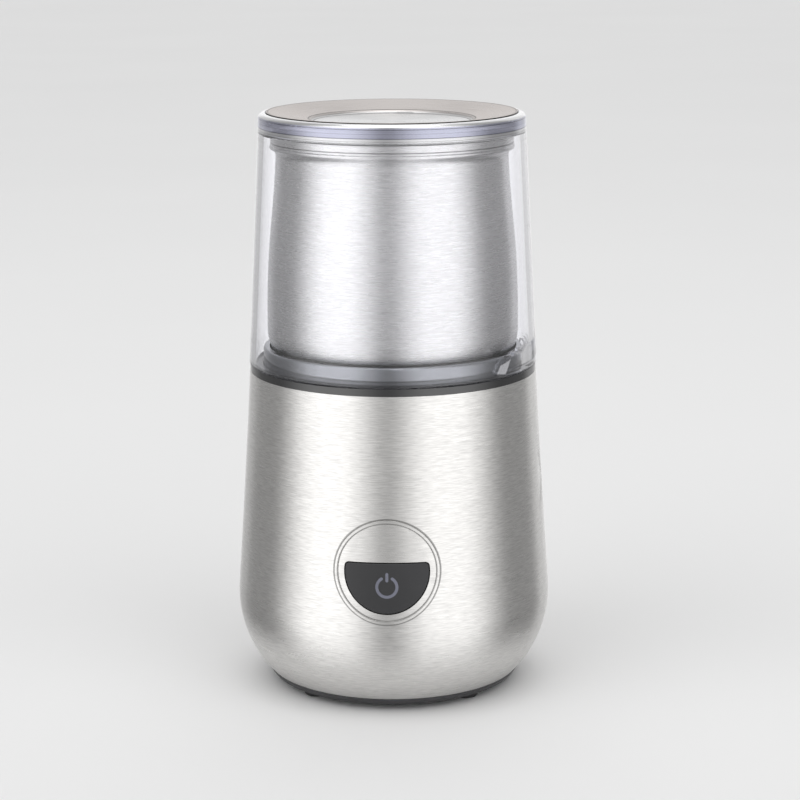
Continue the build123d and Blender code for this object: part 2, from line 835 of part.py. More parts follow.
# Motor brackets: round plates with a bearing hub, windows for air and two posts on to the stator
with BuildPart() as upper_bracket:
    with BuildSketch(Plane.XY.offset(upper_bracket_z)):
        Circle(bracket_r)
        with PolarLocations(window_place_r, 4, start_angle=45):
            Circle(window_r, mode=Mode.SUBTRACT)
        with PolarLocations(boss_place_r, 4):
            Circle(damper_neck_r, mode=Mode.SUBTRACT)
    extrude(amount=bracket_t)
    with BuildSketch(Plane.XY.offset(upper_bracket_z + bracket_t)):
        Circle(bracket_hub_r)
    extrude(amount=-bracket_hub_h)
    with BuildSketch(Plane.XY.offset(stator_top_z)):
        with PolarLocations(bolt_place_r, 2, start_angle=45):
            Circle(bolt_post_r)
    extrude(amount=upper_post_h)
    with BuildSketch(Plane.XY.offset(stator_top_z)):
        with PolarLocations(bolt_place_r, 2, start_angle=45):
            Circle(thread_hole_r)
    extrude(amount=upper_post_h, mode=Mode.SUBTRACT)
    with BuildSketch(Plane.XY.offset(upper_bracket_z + bracket_t)):
        Circle(bearing_r)
    extrude(amount=-bracket_hub_h, mode=Mode.SUBTRACT)
upper_bracket.part.label = "upper_bracket"
export_step(upper_bracket.part, "parts/upper_bracket.step")

with BuildPart() as lower_bracket:
    with BuildSketch(Plane.XY.offset(lower_bracket_z)):
        Circle(bracket_r)
        with PolarLocations(window_place_r, 4):
            Circle(window_r, mode=Mode.SUBTRACT)
    extrude(amount=bracket_t)
    with BuildSketch(Plane.XY.offset(lower_bracket_z - bracket_hub_drop)):
        Circle(bracket_hub_r)
    extrude(amount=bracket_hub_h)
    with BuildSketch(Plane.XY.offset(lower_bracket_z + bracket_t)):
        with PolarLocations(bolt_place_r, 2, start_angle=45):
            Circle(bolt_post_r)
    extrude(amount=lower_post_h)
    # Two pedestals for the brush holders, on the diagonal that the posts leave free
    with BuildSketch(Plane.XY.offset(lower_bracket_z + bracket_t)):
        with PolarLocations(holder_place_r, 2, start_angle=-45):
            Rectangle(holder_l, brush_w + 2 * holder_wall)
    extrude(amount=brush_z - brush_h / 2 - holder_wall - lower_bracket_z - bracket_t)
    with BuildSketch(Plane.XY.offset(lower_bracket_z)):
        with PolarLocations(bolt_place_r, 2, start_angle=45):
            Circle(screw_r + seat_gap)
    extrude(amount=bracket_t + lower_post_h, mode=Mode.SUBTRACT)
    with BuildSketch(Plane.XY.offset(lower_bracket_z - bracket_hub_drop)):
        Circle(bearing_r)
    extrude(amount=bracket_hub_h, mode=Mode.SUBTRACT)
lower_bracket.part.label = "lower_bracket"
export_step(lower_bracket.part, "parts/lower_bracket.step")

# Bearings: plain bushes in the hubs of the brackets
with BuildPart() as upper_bearing:
    with BuildSketch(Plane.XY.offset(upper_bracket_z + bracket_t)):
        Circle(bearing_r)
        Circle(bearing_bore_r, mode=Mode.SUBTRACT)
    extrude(amount=-bracket_hub_h)
upper_bearing.part.label = "upper_bearing"
export_step(upper_bearing.part, "parts/upper_bearing.step")

with BuildPart() as lower_bearing:
    with BuildSketch(Plane.XY.offset(lower_bracket_z - bracket_hub_drop)):
        Circle(bearing_r)
        Circle(bearing_bore_r, mode=Mode.SUBTRACT)
    extrude(amount=bracket_hub_h)
lower_bearing.part.label = "lower_bearing"
export_step(lower_bearing.part, "parts/lower_bearing.step")

# Motor dampers: rubber rings that hold the upper bracket off the housing's bosses
with BuildPart() as motor_dampers:
    with BuildSketch(Plane.XY.offset(upper_bracket_z - damper_skirt_t)):
        with PolarLocations(boss_place_r, 4):
            Circle(damper_r)
    extrude(amount=damper_skirt_t)
    with BuildSketch(Plane.XY.offset(upper_bracket_z)):
        with PolarLocations(boss_place_r, 4):
            Circle(damper_neck_r)
    extrude(amount=bracket_t)
    with BuildSketch(Plane.XY.offset(upper_bracket_z + bracket_t)):
        with PolarLocations(boss_place_r, 4):
            Circle(damper_r)
    extrude(amount=damper_h)
    with BuildSketch(Plane.XY.offset(upper_bracket_z - damper_skirt_t)):
        with PolarLocations(boss_place_r, 4):
            Circle(screw_r + thread_gap)
    extrude(amount=damper_skirt_t + bracket_t + damper_h, mode=Mode.SUBTRACT)
motor_dampers.part.label = "motor_dampers"
export_step(motor_dampers.part, "parts/motor_dampers.step")

# Bracket screws through the dampers into the housing's bosses
with BuildPart() as bracket_screws:
    with BuildSketch(Plane.XY.offset(upper_bracket_z - damper_skirt_t)):
        with PolarLocations(boss_place_r, 4):
            Circle(screw_head_r)
    extrude(amount=-bracket_head_h)
    with BuildSketch(Plane.XY.offset(upper_bracket_z - damper_skirt_t)):
        with PolarLocations(boss_place_r, 4):
            Circle(screw_r)
    extrude(amount=damper_skirt_t + bracket_t + damper_h + motor_boss_h)
bracket_screws.part.label = "bracket_screws"
export_step(bracket_screws.part, "parts/bracket_screws.step")

# Stator: laminated yoke with two pole shoes round the bore
with BuildPart() as stator_core:
    with BuildSketch(Plane.XY.offset(stator_z)):
        Circle(stator_r)
        Rectangle(2 * stator_r, 2 * stator_flat, mode=Mode.INTERSECT)
        Circle(stator_r - stator_yoke, mode=Mode.SUBTRACT)
        Rectangle(2 * stator_r - stator_yoke, pole_neck_w)
        Circle(stator_bore_r + pole_shoe_t)
        Rectangle(pole_gap_w, 2 * (stator_bore_r + pole_shoe_t + coil_gap), mode=Mode.SUBTRACT)
        Circle(stator_bore_r, mode=Mode.SUBTRACT)
        with PolarLocations(bolt_place_r, 2, start_angle=45):
            Circle(screw_r + seat_gap, mode=Mode.SUBTRACT)
    extrude(amount=stator_h)
stator_core.part.label = "stator_core"
export_step(stator_core.part, "parts/stator_core.step")

# Field coils: saddle-shaped rings of wire round the two pole necks, curved to the bore
with BuildPart() as field_coils:
    with BuildSketch(Plane.XY.offset(stator_z - coil_w - coil_gap)):
        Circle(stator_r - stator_yoke - coil_gap)
        Circle(stator_bore_r + pole_shoe_t + coil_gap, mode=Mode.SUBTRACT)
    extrude(amount=stator_h + 2 * (coil_w + coil_gap))
    with BuildSketch(Plane.YZ):
        with Locations((0, stator_z + stator_h / 2)):
            RectangleRounded(pole_neck_w + 2 * (coil_w + coil_gap), stator_h + 2 * (coil_w + coil_gap), coil_w)
            Rectangle(pole_neck_w + 2 * coil_gap, stator_h + 2 * coil_gap, mode=Mode.SUBTRACT)
    extrude(amount=stator_r, both=True, mode=Mode.INTERSECT)
field_coils.part.label = "field_coils"
export_step(field_coils.part, "parts/field_coils.step")

# Stator bolts, from under the lower bracket up into the posts of the upper one
with BuildPart() as stator_bolts:
    with BuildSketch(Plane.XY.offset(lower_bracket_z)):
        with PolarLocations(bolt_place_r, 2, start_angle=45):
            Circle(screw_head_r)
    extrude(amount=-bracket_head_h)
    with BuildSketch(Plane.XY.offset(lower_bracket_z)):
        with PolarLocations(bolt_place_r, 2, start_angle=45):
            Circle(screw_r)
    extrude(amount=stator_top_z + upper_post_h - lower_bracket_z)
stator_bolts.part.label = "stator_bolts"
export_step(stator_bolts.part, "parts/stator_bolts.step")

# Brush gear: two brass tubes, a carbon brush in each, and a spring behind it
with BuildPart() as brush_holders:
    with BuildSketch(Plane.XY.offset(brush_z - brush_h / 2 - holder_wall)):
        with PolarLocations(holder_place_r, 2, start_angle=-45):
            Rectangle(holder_l, brush_w + 2 * holder_wall)
    extrude(amount=brush_h + 2 * holder_wall)
    with BuildSketch(Plane.XY.offset(brush_z - brush_h / 2 - brush_gap)):
        with PolarLocations(holder_place_r - holder_wall, 2, start_angle=-45):
            Rectangle(holder_l, brush_w + 2 * brush_gap)
    extrude(amount=brush_h + 2 * brush_gap, mode=Mode.SUBTRACT)
brush_holders.part.label = "brush_holders"
export_step(brush_holders.part, "parts/brush_holders.step")

with BuildPart() as carbon_brushes:
    with BuildSketch(Plane.XY.offset(brush_z - brush_h / 2)):
        with PolarLocations(commutator_r + brush_l / 2, 2, start_angle=-45):
            Rectangle(brush_l, brush_w)
        Circle(commutator_r + running_gap, mode=Mode.SUBTRACT)
    extrude(amount=brush_h)
carbon_brushes.part.label = "carbon_brushes"
export_step(carbon_brushes.part, "parts/carbon_brushes.step")

# Each brush spring is a leaf bent to and fro between the brush and the closed end of its holder
with BuildPart() as brush_springs:
    for turn in (-45, 135):
        with BuildSketch(Plane.XY.rotated((0, 0, turn)).offset(brush_z - leaf_w / 2)):
            with BuildLine():
                Polyline(
                    *[
                        (
                            leaf_start_r + (leaf_end_r - leaf_start_r) * bend / leaf_bends,
                            leaf_swing * (-1) ** bend,
                        )
                        for bend in range(leaf_bends + 1)
                    ]
                )
            trace(line_width=leaf_t)
        extrude(amount=leaf_w)
brush_springs.part.label = "brush_springs"
export_step(brush_springs.part, "parts/brush_springs.step")

# Motor shaft
with BuildPart() as motor_shaft:
    with BuildSketch(Plane.XY.offset(fan_z - seat_gap)):
        Circle(shaft_r)
    extrude(amount=drive_z + drive_h - drive_pocket - fan_z + seat_gap)
    chamfer(motor_shaft.faces().sort_by(Axis.Z)[0].edges(), shaft_end)
motor_shaft.part.label = "motor_shaft"
export_step(motor_shaft.part, "parts/motor_shaft.step")

# Armature: a slotted stack of laminations on the shaft
with BuildPart() as armature_core:
    with BuildSketch(Plane.XY.offset(stator_z)):
        Circle(armature_r)
        with PolarLocations(armature_r, slot_count):
            Rectangle(2 * slot_depth, slot_w, mode=Mode.SUBTRACT)
        Circle(shaft_r, mode=Mode.SUBTRACT)
    extrude(amount=stator_h)
armature_core.part.label = "armature_core"
export_step(armature_core.part, "parts/armature_core.step")

# Windings: wire bars in the slots, gathered into a bundle with sloped shoulders at each end of the stack
with BuildPart() as armature_windings:
    with BuildSketch(Plane.XY.offset(stator_z)):
        with PolarLocations((slot_floor_r + winding_r) / 2, slot_count):
            Rectangle(winding_r - slot_floor_r, slot_w)
    extrude(amount=stator_h)
    with BuildSketch(Plane.XZ):
        for end_z, way in ((stator_top_z, 1), (stator_z, -1)):
            with BuildLine():
                Polyline(
                    (winding_core_r, end_z),
                    (winding_r, end_z),
                    (winding_r, end_z + way * (winding_rise - winding_edge)),
                    (winding_r - winding_edge, end_z + way * winding_rise),
                    (winding_core_r + winding_edge, end_z + way * winding_rise),
                    (winding_core_r, end_z + way * (winding_rise - winding_edge)),
                    close=True,
                )
            make_face()
    revolve(axis=Axis.Z)
armature_windings.part.label = "armature_windings"
export_step(armature_windings.part, "parts/armature_windings.step")

# Commutator: copper segments on the shaft with a riser ring for the wires
with BuildPart() as commutator:
    with BuildSketch(Plane.XY.offset(commutator_z)):
        Circle(commutator_r)
    extrude(amount=commutator_h)
    with BuildSketch(Plane.XY.offset(commutator_z + commutator_h)):
        Circle(riser_r)
    extrude(amount=riser_h)
    with BuildSketch(Plane.XY.offset(commutator_z)):
        with PolarLocations(riser_r, segment_count):
            Rectangle(2 * (riser_r - commutator_r) + 2 * segment_cut, segment_cut)
    extrude(amount=commutator_h + riser_h, mode=Mode.SUBTRACT)
    with BuildSketch(Plane.XY.offset(commutator_z)):
        Circle(shaft_r)
    extrude(amount=commutator_h + riser_h, mode=Mode.SUBTRACT)
commutator.part.label = "commutator"
export_step(commutator.part, "parts/commutator.step")

# Cooling fan: curved blades under a plate, on a hub
with BuildSketch() as fan_blade:
    with BuildLine() as blade_curve:
        ThreePointArc(
            (fan_hub_r - fan_blade_t, 0),
            (fan_middle_r * cos(fan_lead), fan_middle_r * sin(fan_lead)),
            (fan_r * cos(fan_sweep), fan_r * sin(fan_sweep)),
        )
        blade_sides = offset(blade_curve.line, amount=fan_blade_t, side=Side.LEFT)
    make_face(blade_sides.edges())
with BuildPart() as cooling_fan:
    with BuildSketch(Plane.XY.offset(fan_z + fan_h - fan_plate_t)):
        Circle(fan_r)
    extrude(amount=fan_plate_t)
    with BuildSketch(Plane.XY.offset(fan_z)):
        Circle(fan_hub_r)
        with PolarLocations(0, fan_blade_count):
            add(fan_blade.sketch)
        Circle(fan_r, mode=Mode.INTERSECT)
    extrude(amount=fan_h - fan_plate_t)
    with BuildSketch(Plane.XY.offset(fan_z)):
        Circle(shaft_r)
    extrude(amount=fan_h, mode=Mode.SUBTRACT)
cooling_fan.part.label = "cooling_fan"
export_step(cooling_fan.part, "parts/cooling_fan.step")


def star(gap):
    """The six-toothed outline of the dog coupling, grown by gap."""
    Circle(driven_core_r + gap)
    with PolarLocations(0, driven_tooth_count // 2):
        Rectangle(2 * (driven_tooth_r + gap), driven_tooth_w + 2 * gap)


# Drive coupling: a puck on the motor shaft with a six-toothed pocket
with BuildPart() as drive_coupling:
    with BuildSketch(Plane.XY.offset(drive_z)):
        Circle(drive_r)
    extrude(amount=drive_h)
    chamfer(drive_coupling.faces().sort_by(Axis.Z)[-1].edges(), drive_edge)
    with BuildSketch(Plane.XY.offset(drive_z + drive_h - drive_pocket)):
        star(slide_gap)
    extrude(amount=drive_pocket, mode=Mode.SUBTRACT)
    with BuildSketch(Plane.XY.offset(drive_z)):
        Circle(shaft_r)
    extrude(amount=drive_h - drive_pocket, mode=Mode.SUBTRACT)
drive_coupling.part.label = "drive_coupling"
export_step(drive_coupling.part, "parts/drive_coupling.step")

# Driven coupling: the matching star under the cup, on the blade shaft
with BuildPart() as driven_coupling:
    with BuildSketch(Plane.XY.offset(driven_z)):
        star(0)
        Circle(shaft_r, mode=Mode.SUBTRACT)
    extrude(amount=driven_h)
driven_coupling.part.label = "driven_coupling"
export_step(driven_coupling.part, "parts/driven_coupling.step")

# Cup foot: moulded skirt under the bowl with a hub for the bush and three key ribs
with BuildPart() as cup_foot:
    foot_lip_z = cup_bottom_z + cup_foot_top
    foot_lip_r = cup_corner_x + sqrt(cup_corner_r**2 - (cup_corner_r - cup_foot_top) ** 2)
    foot_arc_angle = radians(45) * cup_foot_top / cup_corner_r
    with BuildSketch(Plane.XZ):
        with BuildLine():
            Polyline(
                (foot_lip_r, foot_lip_z),
                (cup_foot_r, foot_lip_z),
                (cup_foot_r, well_floor_z + seat_gap),
                (cup_foot_r - cup_foot_wall, well_floor_z + seat_gap),
                (cup_foot_r - cup_foot_wall, cup_bottom_z - cup_foot_wall),
                (bush_flange_r, cup_bottom_z - cup_foot_wall),
                (bush_flange_r, foot_hub_z),
                (bush_r + thread_gap, foot_hub_z),
                (bush_r + thread_gap, cup_bottom_z),
                (cup_corner_x, cup_bottom_z),
            )
            ThreePointArc(
                (cup_corner_x, cup_bottom_z),
                (
                    cup_corner_x + cup_corner_r * sin(foot_arc_angle),
                    cup_bottom_z + cup_corner_r * (1 - cos(foot_arc_angle)),
                ),
                (foot_lip_r, foot_lip_z),
            )
        make_face()
    revolve(axis=Axis.Z)
    with BuildSketch(Plane.XY.offset(well_floor_z + seat_gap)):
        with PolarLocations(cup_foot_r, key_rib_count, start_angle=90):
            Rectangle(2 * (key_rib_out - slide_gap), key_rib_w)
    extrude(amount=key_rib_h)
cup_foot.part.label = "cup_foot"
export_step(cup_foot.part, "parts/cup_foot.step")

# Grinding cup: a steel bowl of even wall with a necked-in rim and a rolled bead
with BuildPart() as grinding_cup:
    with BuildSketch(Plane.XZ):
        with BuildLine() as bowl_line:
            Line((bush_r + thread_gap, cup_bottom_z), (cup_corner_x, cup_bottom_z))
            corner = TangentArc(
                (cup_corner_x, cup_bottom_z),
                (cup_belly_r, cup_bottom_z + cup_corner_r),
                tangent=(1, 0),
            )
            side = Line(corner @ 1, (cup_belly_r, cup_bottom_z + cup_corner_r + cup_belly_h))
            swell = TangentArc(side @ 1, (cup_swell_r, cup_bottom_z + cup_swell_rise), tangent=side % 1)
            neck = TangentArc(swell @ 1, (cup_neck_r, neck_top_z), tangent=swell % 1)
            flare = TangentArc(neck @ 1, (cup_rim_r, neck_top_z + cup_flare_h), tangent=neck % 1)
            Line(flare @ 1, (cup_rim_r, cup_top_z))
        bowl_wall = offset(bowl_line.line, amount=cup_wall, side=Side.LEFT)
        make_face(bowl_wall.edges())
    revolve(axis=Axis.Z)
    # Bead rolled outwards under the rim band
    with BuildSketch(Plane.XZ):
        with BuildLine():
            Line((cup_rim_r, bead_z), (cup_rim_r, bead_z + cup_bead_h))
            ThreePointArc(
                (cup_rim_r, bead_z),
                (cup_rim_r + cup_bead, bead_z + cup_bead_h / 2),
                (cup_rim_r, bead_z + cup_bead_h),
            )
        make_face()
    revolve(axis=Axis.Z)
grinding_cup.part.label = "grinding_cup"
export_step(grinding_cup.part, "parts/grinding_cup.step")

# Cup gasket on the floor of the bowl, under the flange of the bush
with BuildPart() as cup_gasket:
    with BuildSketch(Plane.XY.offset(cup_inner_z)):
        Circle(bush_flange_r)
        Circle(bush_r + thread_gap, mode=Mode.SUBTRACT)
    extrude(amount=gasket_t)
cup_gasket.part.label = "cup_gasket"
export_step(cup_gasket.part, "parts/cup_gasket.step")

# Cup bearing: a flanged brass bush down through the bowl, the foot and the nut
with BuildPart() as cup_bearing:
    with BuildSketch(Plane.XY.offset(nut_z)):
        Circle(bush_r)
    extrude(amount=bush_top_z - bush_flange_t - nut_z)
    with BuildSketch(Plane.XY.offset(bush_top_z - bush_flange_t)):
        Circle(bush_flange_r)
    extrude(amount=bush_flange_t)
    chamfer(cup_bearing.faces().sort_by(Axis.Z)[-1].edges(), bush_edge)
    with BuildSketch(Plane.XY.offset(nut_z)):
        Circle(bearing_bore_r)
    extrude(amount=bush_top_z - nut_z, mode=Mode.SUBTRACT)
cup_bearing.part.label = "cup_bearing"
export_step(cup_bearing.part, "parts/cup_bearing.step")

# Bearing nut: a thin hexagon that clamps the bush, the bowl and the foot together
with BuildPart() as bearing_nut:
    with BuildSketch(Plane.XY.offset(nut_z)):
        RegularPolygon(nut_flat / 2, 6, major_radius=False)
        Circle(bush_r + thread_gap, mode=Mode.SUBTRACT)
    extrude(amount=nut_h)
bearing_nut.part.label = "bearing_nut"
export_step(bearing_nut.part, "parts/bearing_nut.step")

# Blade shaft: runs in the bush, with a shoulder under the blade and a thin end through it
with BuildPart() as blade_shaft:
    with BuildSketch(Plane.XY.offset(driven_z)):
        Circle(shaft_r)
    extrude(amount=blade_z - driven_z)
    with BuildSketch(Plane.XY.offset(blade_z - blade_shoulder_h)):
        Circle(blade_shoulder_r)
    extrude(amount=blade_shoulder_h)
    with BuildSketch(Plane.XY.offset(blade_z)):
        Circle(blade_bolt_r)
    extrude(amount=blade_t + washer_t + blade_nut_h)
blade_shaft.part.label = "blade_shaft"
export_step(blade_shaft.part, "parts/blade_shaft.step")

# Grinding blade: one strip of steel cranked up on one side and down on the other, with two swept-back arms
with BuildSketch() as blade_arm:
    with BuildLine():
        Polyline(
            (0, -blade_w / 2),
            (blade_tip_r - blade_taper_l, -blade_w / 2),
            (blade_tip_r - blade_tip_slant, blade_tip_lead - blade_w / 2),
            (blade_tip_r - 2 * blade_tip_slant, blade_w / 2 - blade_tip_back),
            (blade_hub_l / 2, blade_w / 2),
            (0, blade_w / 2),
            close=True,
        )
    make_face()
with BuildPart() as grinding_blade:
    with BuildSketch(Plane.XZ):
        with BuildLine():
            crank = [
                (-blade_tip_r, blade_up),
                (-blade_tip_r + blade_tip_l, blade_up),
                (-blade_hub_l / 2, 0),
                (blade_hub_l / 2, 0),
                (blade_tip_r - blade_tip_l, -blade_down),
                (blade_tip_r, -blade_down),
            ]
            under = [(x, blade_z + rise) for x, rise in crank]
            over = [(x, blade_z + rise + blade_t) for x, rise in reversed(crank)]
            Polyline(*under, *over, close=True)
        make_face()
    extrude(amount=blade_w, both=True)
    with BuildSketch(Plane.XY.offset(blade_z - blade_down - blade_t)):
        with PolarLocations(0, 2):
            add(blade_arm.sketch)
    extrude(amount=blade_up + blade_down + 3 * blade_t, mode=Mode.INTERSECT)
    with BuildSketch(Plane.XY.offset(blade_z)):
        Circle(blade_bolt_r)
    extrude(amount=blade_t, mode=Mode.SUBTRACT)
grinding_blade.part.label = "grinding_blade"
export_step(grinding_blade.part, "parts/grinding_blade.step")

# Washer and cap nut on the blade
with BuildPart() as blade_washer:
    with BuildSketch(Plane.XY.offset(blade_z + blade_t)):
        Circle(washer_r)
        Circle(blade_bolt_r, mode=Mode.SUBTRACT)
    extrude(amount=washer_t)
blade_washer.part.label = "blade_washer"
export_step(blade_washer.part, "parts/blade_washer.step")

with BuildPart() as blade_nut:
    with BuildSketch(Plane.XY.offset(blade_z + blade_t + washer_t)):
        RegularPolygon(blade_nut_flat / 2, 6, major_radius=False)
    extrude(amount=blade_nut_h)
    with BuildSketch(Plane.XZ):
        with BuildLine():
            nut_dome_z = blade_z + blade_t + washer_t + blade_nut_h
            nut_dome_r = blade_nut_flat / 2 - blade_nut_step
            nut_top_z = nut_dome_z + blade_nut_dome
            Polyline((0, nut_top_z), (0, nut_dome_z), (nut_dome_r, nut_dome_z))
            TangentArc((0, nut_top_z), (nut_dome_r, nut_dome_z), tangent=(1, 0))
        make_face()
    revolve(axis=Axis.Z)
    with BuildSketch(Plane.XY.offset(blade_z + blade_t + washer_t)):
        Circle(blade_bolt_r)
    extrude(amount=blade_nut_h, mode=Mode.SUBTRACT)
blade_nut.part.label = "blade_nut"
export_step(blade_nut.part, "parts/blade_nut.step")


def disc_top(drop):
    """Draws the dished top of the lid's disc, lowered by drop, from the rim to the centre, and returns its ends."""
    rim = (disc_r, lid_top_z + disc_edge_rise - drop)
    step = (disc_step_r, rim[1] - disc_slope_drop)
    floor = (disc_step_r - disc_step_w, step[1] - disc_step_drop)
    middle = ((step[0] + floor[0]) / 2, (step[1] + floor[1]) / 2)
    slope = Line(rim, step)
    round_over = TangentArc(step, middle, tangent=slope % 1)
    TangentArc(middle, floor, tangent=round_over % 1)
    Line(floor, (0, floor[1]))
    return rim, (0, floor[1])


# Key block inside the lid's skirt: sloped ends, and ledges that step up and back into the wall
with BuildPart() as key_block:
    with BuildSketch(Plane.XZ):
        for ledge in range(key_ledges + 1):
            with BuildLine():
                Polyline(
                    (key_r + ledge * key_ledge_w, lid_bottom_z),
                    (lid_foot_r - lid_wall / 2, lid_bottom_z),
                    (lid_foot_r - lid_wall / 2, lid_bottom_z + key_rise + ledge * key_ledge_h),
                    (key_r + ledge * key_ledge_w, lid_bottom_z + key_rise + ledge * key_ledge_h),
                    close=True,
                )
            make_face()
    revolve(axis=Axis.Z)
    with BuildSketch(Plane.YZ.rotated((0, 0, key_angle))):
        with BuildLine():
            Polyline(
                (-key_foot_w / 2, lid_bottom_z),
                (key_foot_w / 2, lid_bottom_z),
                (key_w / 2, lid_bottom_z + key_rise),
                (-key_w / 2, lid_bottom_z + key_rise),
                close=True,
            )
        make_face()
        for ledge in range(key_ledges + 1):
            with Locations((0, lid_bottom_z)):
                Rectangle(
                    key_w - 2 * ledge * key_ledge_in,
                    key_rise + ledge * key_ledge_h,
                    align=(Align.CENTER, Align.MIN),
                )
    extrude(amount=lid_foot_r, mode=Mode.INTERSECT)

# Lid: a clear tapered cover whose thick top is dished for the disc, with the interlock key in its skirt
with BuildPart() as lid_shell:
    with BuildSketch(Plane.XZ):
        with BuildLine():
            seat_rim, seat_centre = disc_top(disc_t + disc_film)
            ceiling_r = lid_inner_r(ceiling_z)
            Polyline(
                seat_centre,
                (0, ceiling_z),
                (ceiling_r - lid_corner_r, ceiling_z),
            )
            RadiusArc(
                (ceiling_r - lid_corner_r, ceiling_z),
                (lid_inner_r(ceiling_z - lid_corner_r), ceiling_z - lid_corner_r),
                lid_corner_r,
            )
            Polyline(
                (lid_inner_r(ceiling_z - lid_corner_r), ceiling_z - lid_corner_r),
                (lid_foot_r - lid_wall, lid_bottom_z),
                (lid_foot_r, lid_bottom_z),
                (lid_top_r, lid_top_z - lid_edge_r),
            )
            RadiusArc(
                (lid_top_r, lid_top_z - lid_edge_r),
                (lid_top_r - lid_edge_r, lid_top_z),
                -lid_edge_r,
            )
            Polyline(
                (lid_top_r - lid_edge_r, lid_top_z),
                (disc_r + disc_gap, lid_top_z),
                (disc_r + disc_gap, seat_rim[1]),
                seat_rim,
            )
        make_face()
    revolve(axis=Axis.Z)
    add(key_block.part)
    with BuildSketch(key_plane.offset(tongue_z)):
        with Locations((rod_place_r, 0)):
            Rectangle(tongue_t, tongue_w)
    extrude(amount=tongue_drop + key_rise / 2)
lid_shell.part.label = "lid_shell"
export_step(lid_shell.part, "parts/lid_shell.step")

# Lid disc: thin dished steel with a stepped centre
with BuildPart() as lid_disc:
    with BuildSketch(Plane.XZ):
        with BuildLine():
            top_rim, top_centre = disc_top(0)
            under_rim, under_centre = disc_top(disc_t)
            Line(top_rim, under_rim)
            Line(top_centre, under_centre)
        make_face()
    revolve(axis=Axis.Z)
    fillet(lid_disc.edges().filter_by(GeomType.CIRCLE).group_by(Axis.Z)[-1], disc_edge_r)
lid_disc.part.label = "lid_disc"
export_step(lid_disc.part, "parts/lid_disc.step")

# Circuit board across the two rear pillars, with a capacitor and the mains terminal block
with BuildPart() as circuit_board:
    with BuildSketch(Plane.XZ.offset(-board_front_y)):
        with Locations((0, board_z + board_h / 2)):
            Rectangle(board_w, board_h)
            with GridLocations(2 * pillar_place, 0, 2, 1):
                Circle(screw_r, mode=Mode.SUBTRACT)
    extrude(amount=-board_t)
circuit_board.part.label = "circuit_board"
export_step(circuit_board.part, "parts/circuit_board.step")

with BuildPart() as noise_capacitor:
    with BuildSketch(Plane.XZ.offset(-board_front_y - board_t)):
        with Locations((0, board_z + board_h - capacitor_h / 2)):
            RectangleRounded(capacitor_w, capacitor_h, 1)
    extrude(amount=-capacitor_d)
noise_capacitor.part.label = "noise_capacitor"
export_step(noise_capacitor.part, "parts/noise_capacitor.step")

with BuildPart() as terminal_block:
    with BuildSketch(Plane.XZ.offset(-board_front_y - board_t)):
        with Locations((0, board_z + block_rise + block_h / 2)):
            Rectangle(block_w, block_h)
    extrude(amount=-block_d)
    with BuildSketch(Plane.XZ.offset(-board_front_y - board_t - block_d)):
        with Locations((0, board_z + block_rise + block_h / 2)):
            with GridLocations(block_w / 2, 0, 2, 1):
                Circle(block_screw_r)
    extrude(amount=block_d / 2, mode=Mode.SUBTRACT)
terminal_block.part.label = "terminal_block"
export_step(terminal_block.part, "parts/terminal_block.step")
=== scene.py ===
import json

from bisect import bisect
from math import cos, pi, radians, sin, sqrt

import bmesh
import bpy
from mathutils import Matrix, Vector


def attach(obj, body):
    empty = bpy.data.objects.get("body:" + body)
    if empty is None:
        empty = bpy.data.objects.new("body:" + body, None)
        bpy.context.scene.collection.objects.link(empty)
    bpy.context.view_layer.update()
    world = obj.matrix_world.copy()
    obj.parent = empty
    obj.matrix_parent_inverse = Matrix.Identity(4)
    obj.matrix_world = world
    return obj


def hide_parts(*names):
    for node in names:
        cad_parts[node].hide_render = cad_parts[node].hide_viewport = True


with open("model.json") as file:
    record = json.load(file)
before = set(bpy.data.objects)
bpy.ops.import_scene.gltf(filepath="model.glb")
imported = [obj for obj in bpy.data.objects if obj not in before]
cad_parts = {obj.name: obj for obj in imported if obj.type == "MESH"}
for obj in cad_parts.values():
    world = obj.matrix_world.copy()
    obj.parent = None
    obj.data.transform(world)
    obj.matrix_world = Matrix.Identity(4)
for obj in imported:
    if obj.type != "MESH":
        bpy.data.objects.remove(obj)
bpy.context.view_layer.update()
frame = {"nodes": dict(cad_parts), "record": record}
nodes = frame["nodes"]
scene = bpy.context.scene

MM = 0.001

# Camera: where the photograph was taken from, in the object's frame
CAMERA_TURN = radians(2.3)
CAMERA_SIDE = 2.45 * MM
CAMERA_BACK = 812.9 * MM
CAMERA_HEIGHT = 282.6 * MM
CAMERA_PITCH = radians(12.63)
CAMERA_ROLL = radians(-0.2)
CAMERA_LENS = 105.7
CAMERA_SENSOR = 36.0

# Studio floor, in metres, with its tones and their cells per metre
FLOOR_SIZE = 24.0
FLOOR_DARK = (0.80, 0.80, 0.80)
FLOOR_PALE = (0.83, 0.83, 0.83)
FLOOR_GRAIN = 3.0
FLOOR_ROUGHNESS = 0.9
# Metal mirrors the floor, and clear plastic shows it, only this near to the object: the room follows past it
FLOOR_NEAR = 0.055
FLOOR_FAR = 0.11

# The soft lamp overhead: a square panel that faces the middle of the object
LAMP_PLACE = (0, 0.01, 1.5)
LAMP_AIM = (0, 0, 0.1)
LAMP_SIZE = 0.9
LAMP_GLOW = 1.4

# The room's light, and how much darker it is towards the ground, in full where a ray falls this steeply
ROOM_LEVEL = 0.40
ROOM_DIM = 0.22
ROOM_DIM_FALL = -0.5
# The eye sees this past the floor. Clear plastic shows it past the near floor, as bright as in the photograph
PAST_FLOOR = 1.26
# Soft lights: degrees to the right of the front, half the width, the soft edge's width, and the level
SOFT_LIGHTS = (
    (-49, 31, 23, 1.18),
    (45, 32, 23, 1.08),
    (-146, 9, 9, 0.22),
    (146, 9, 9, 0.40),
)
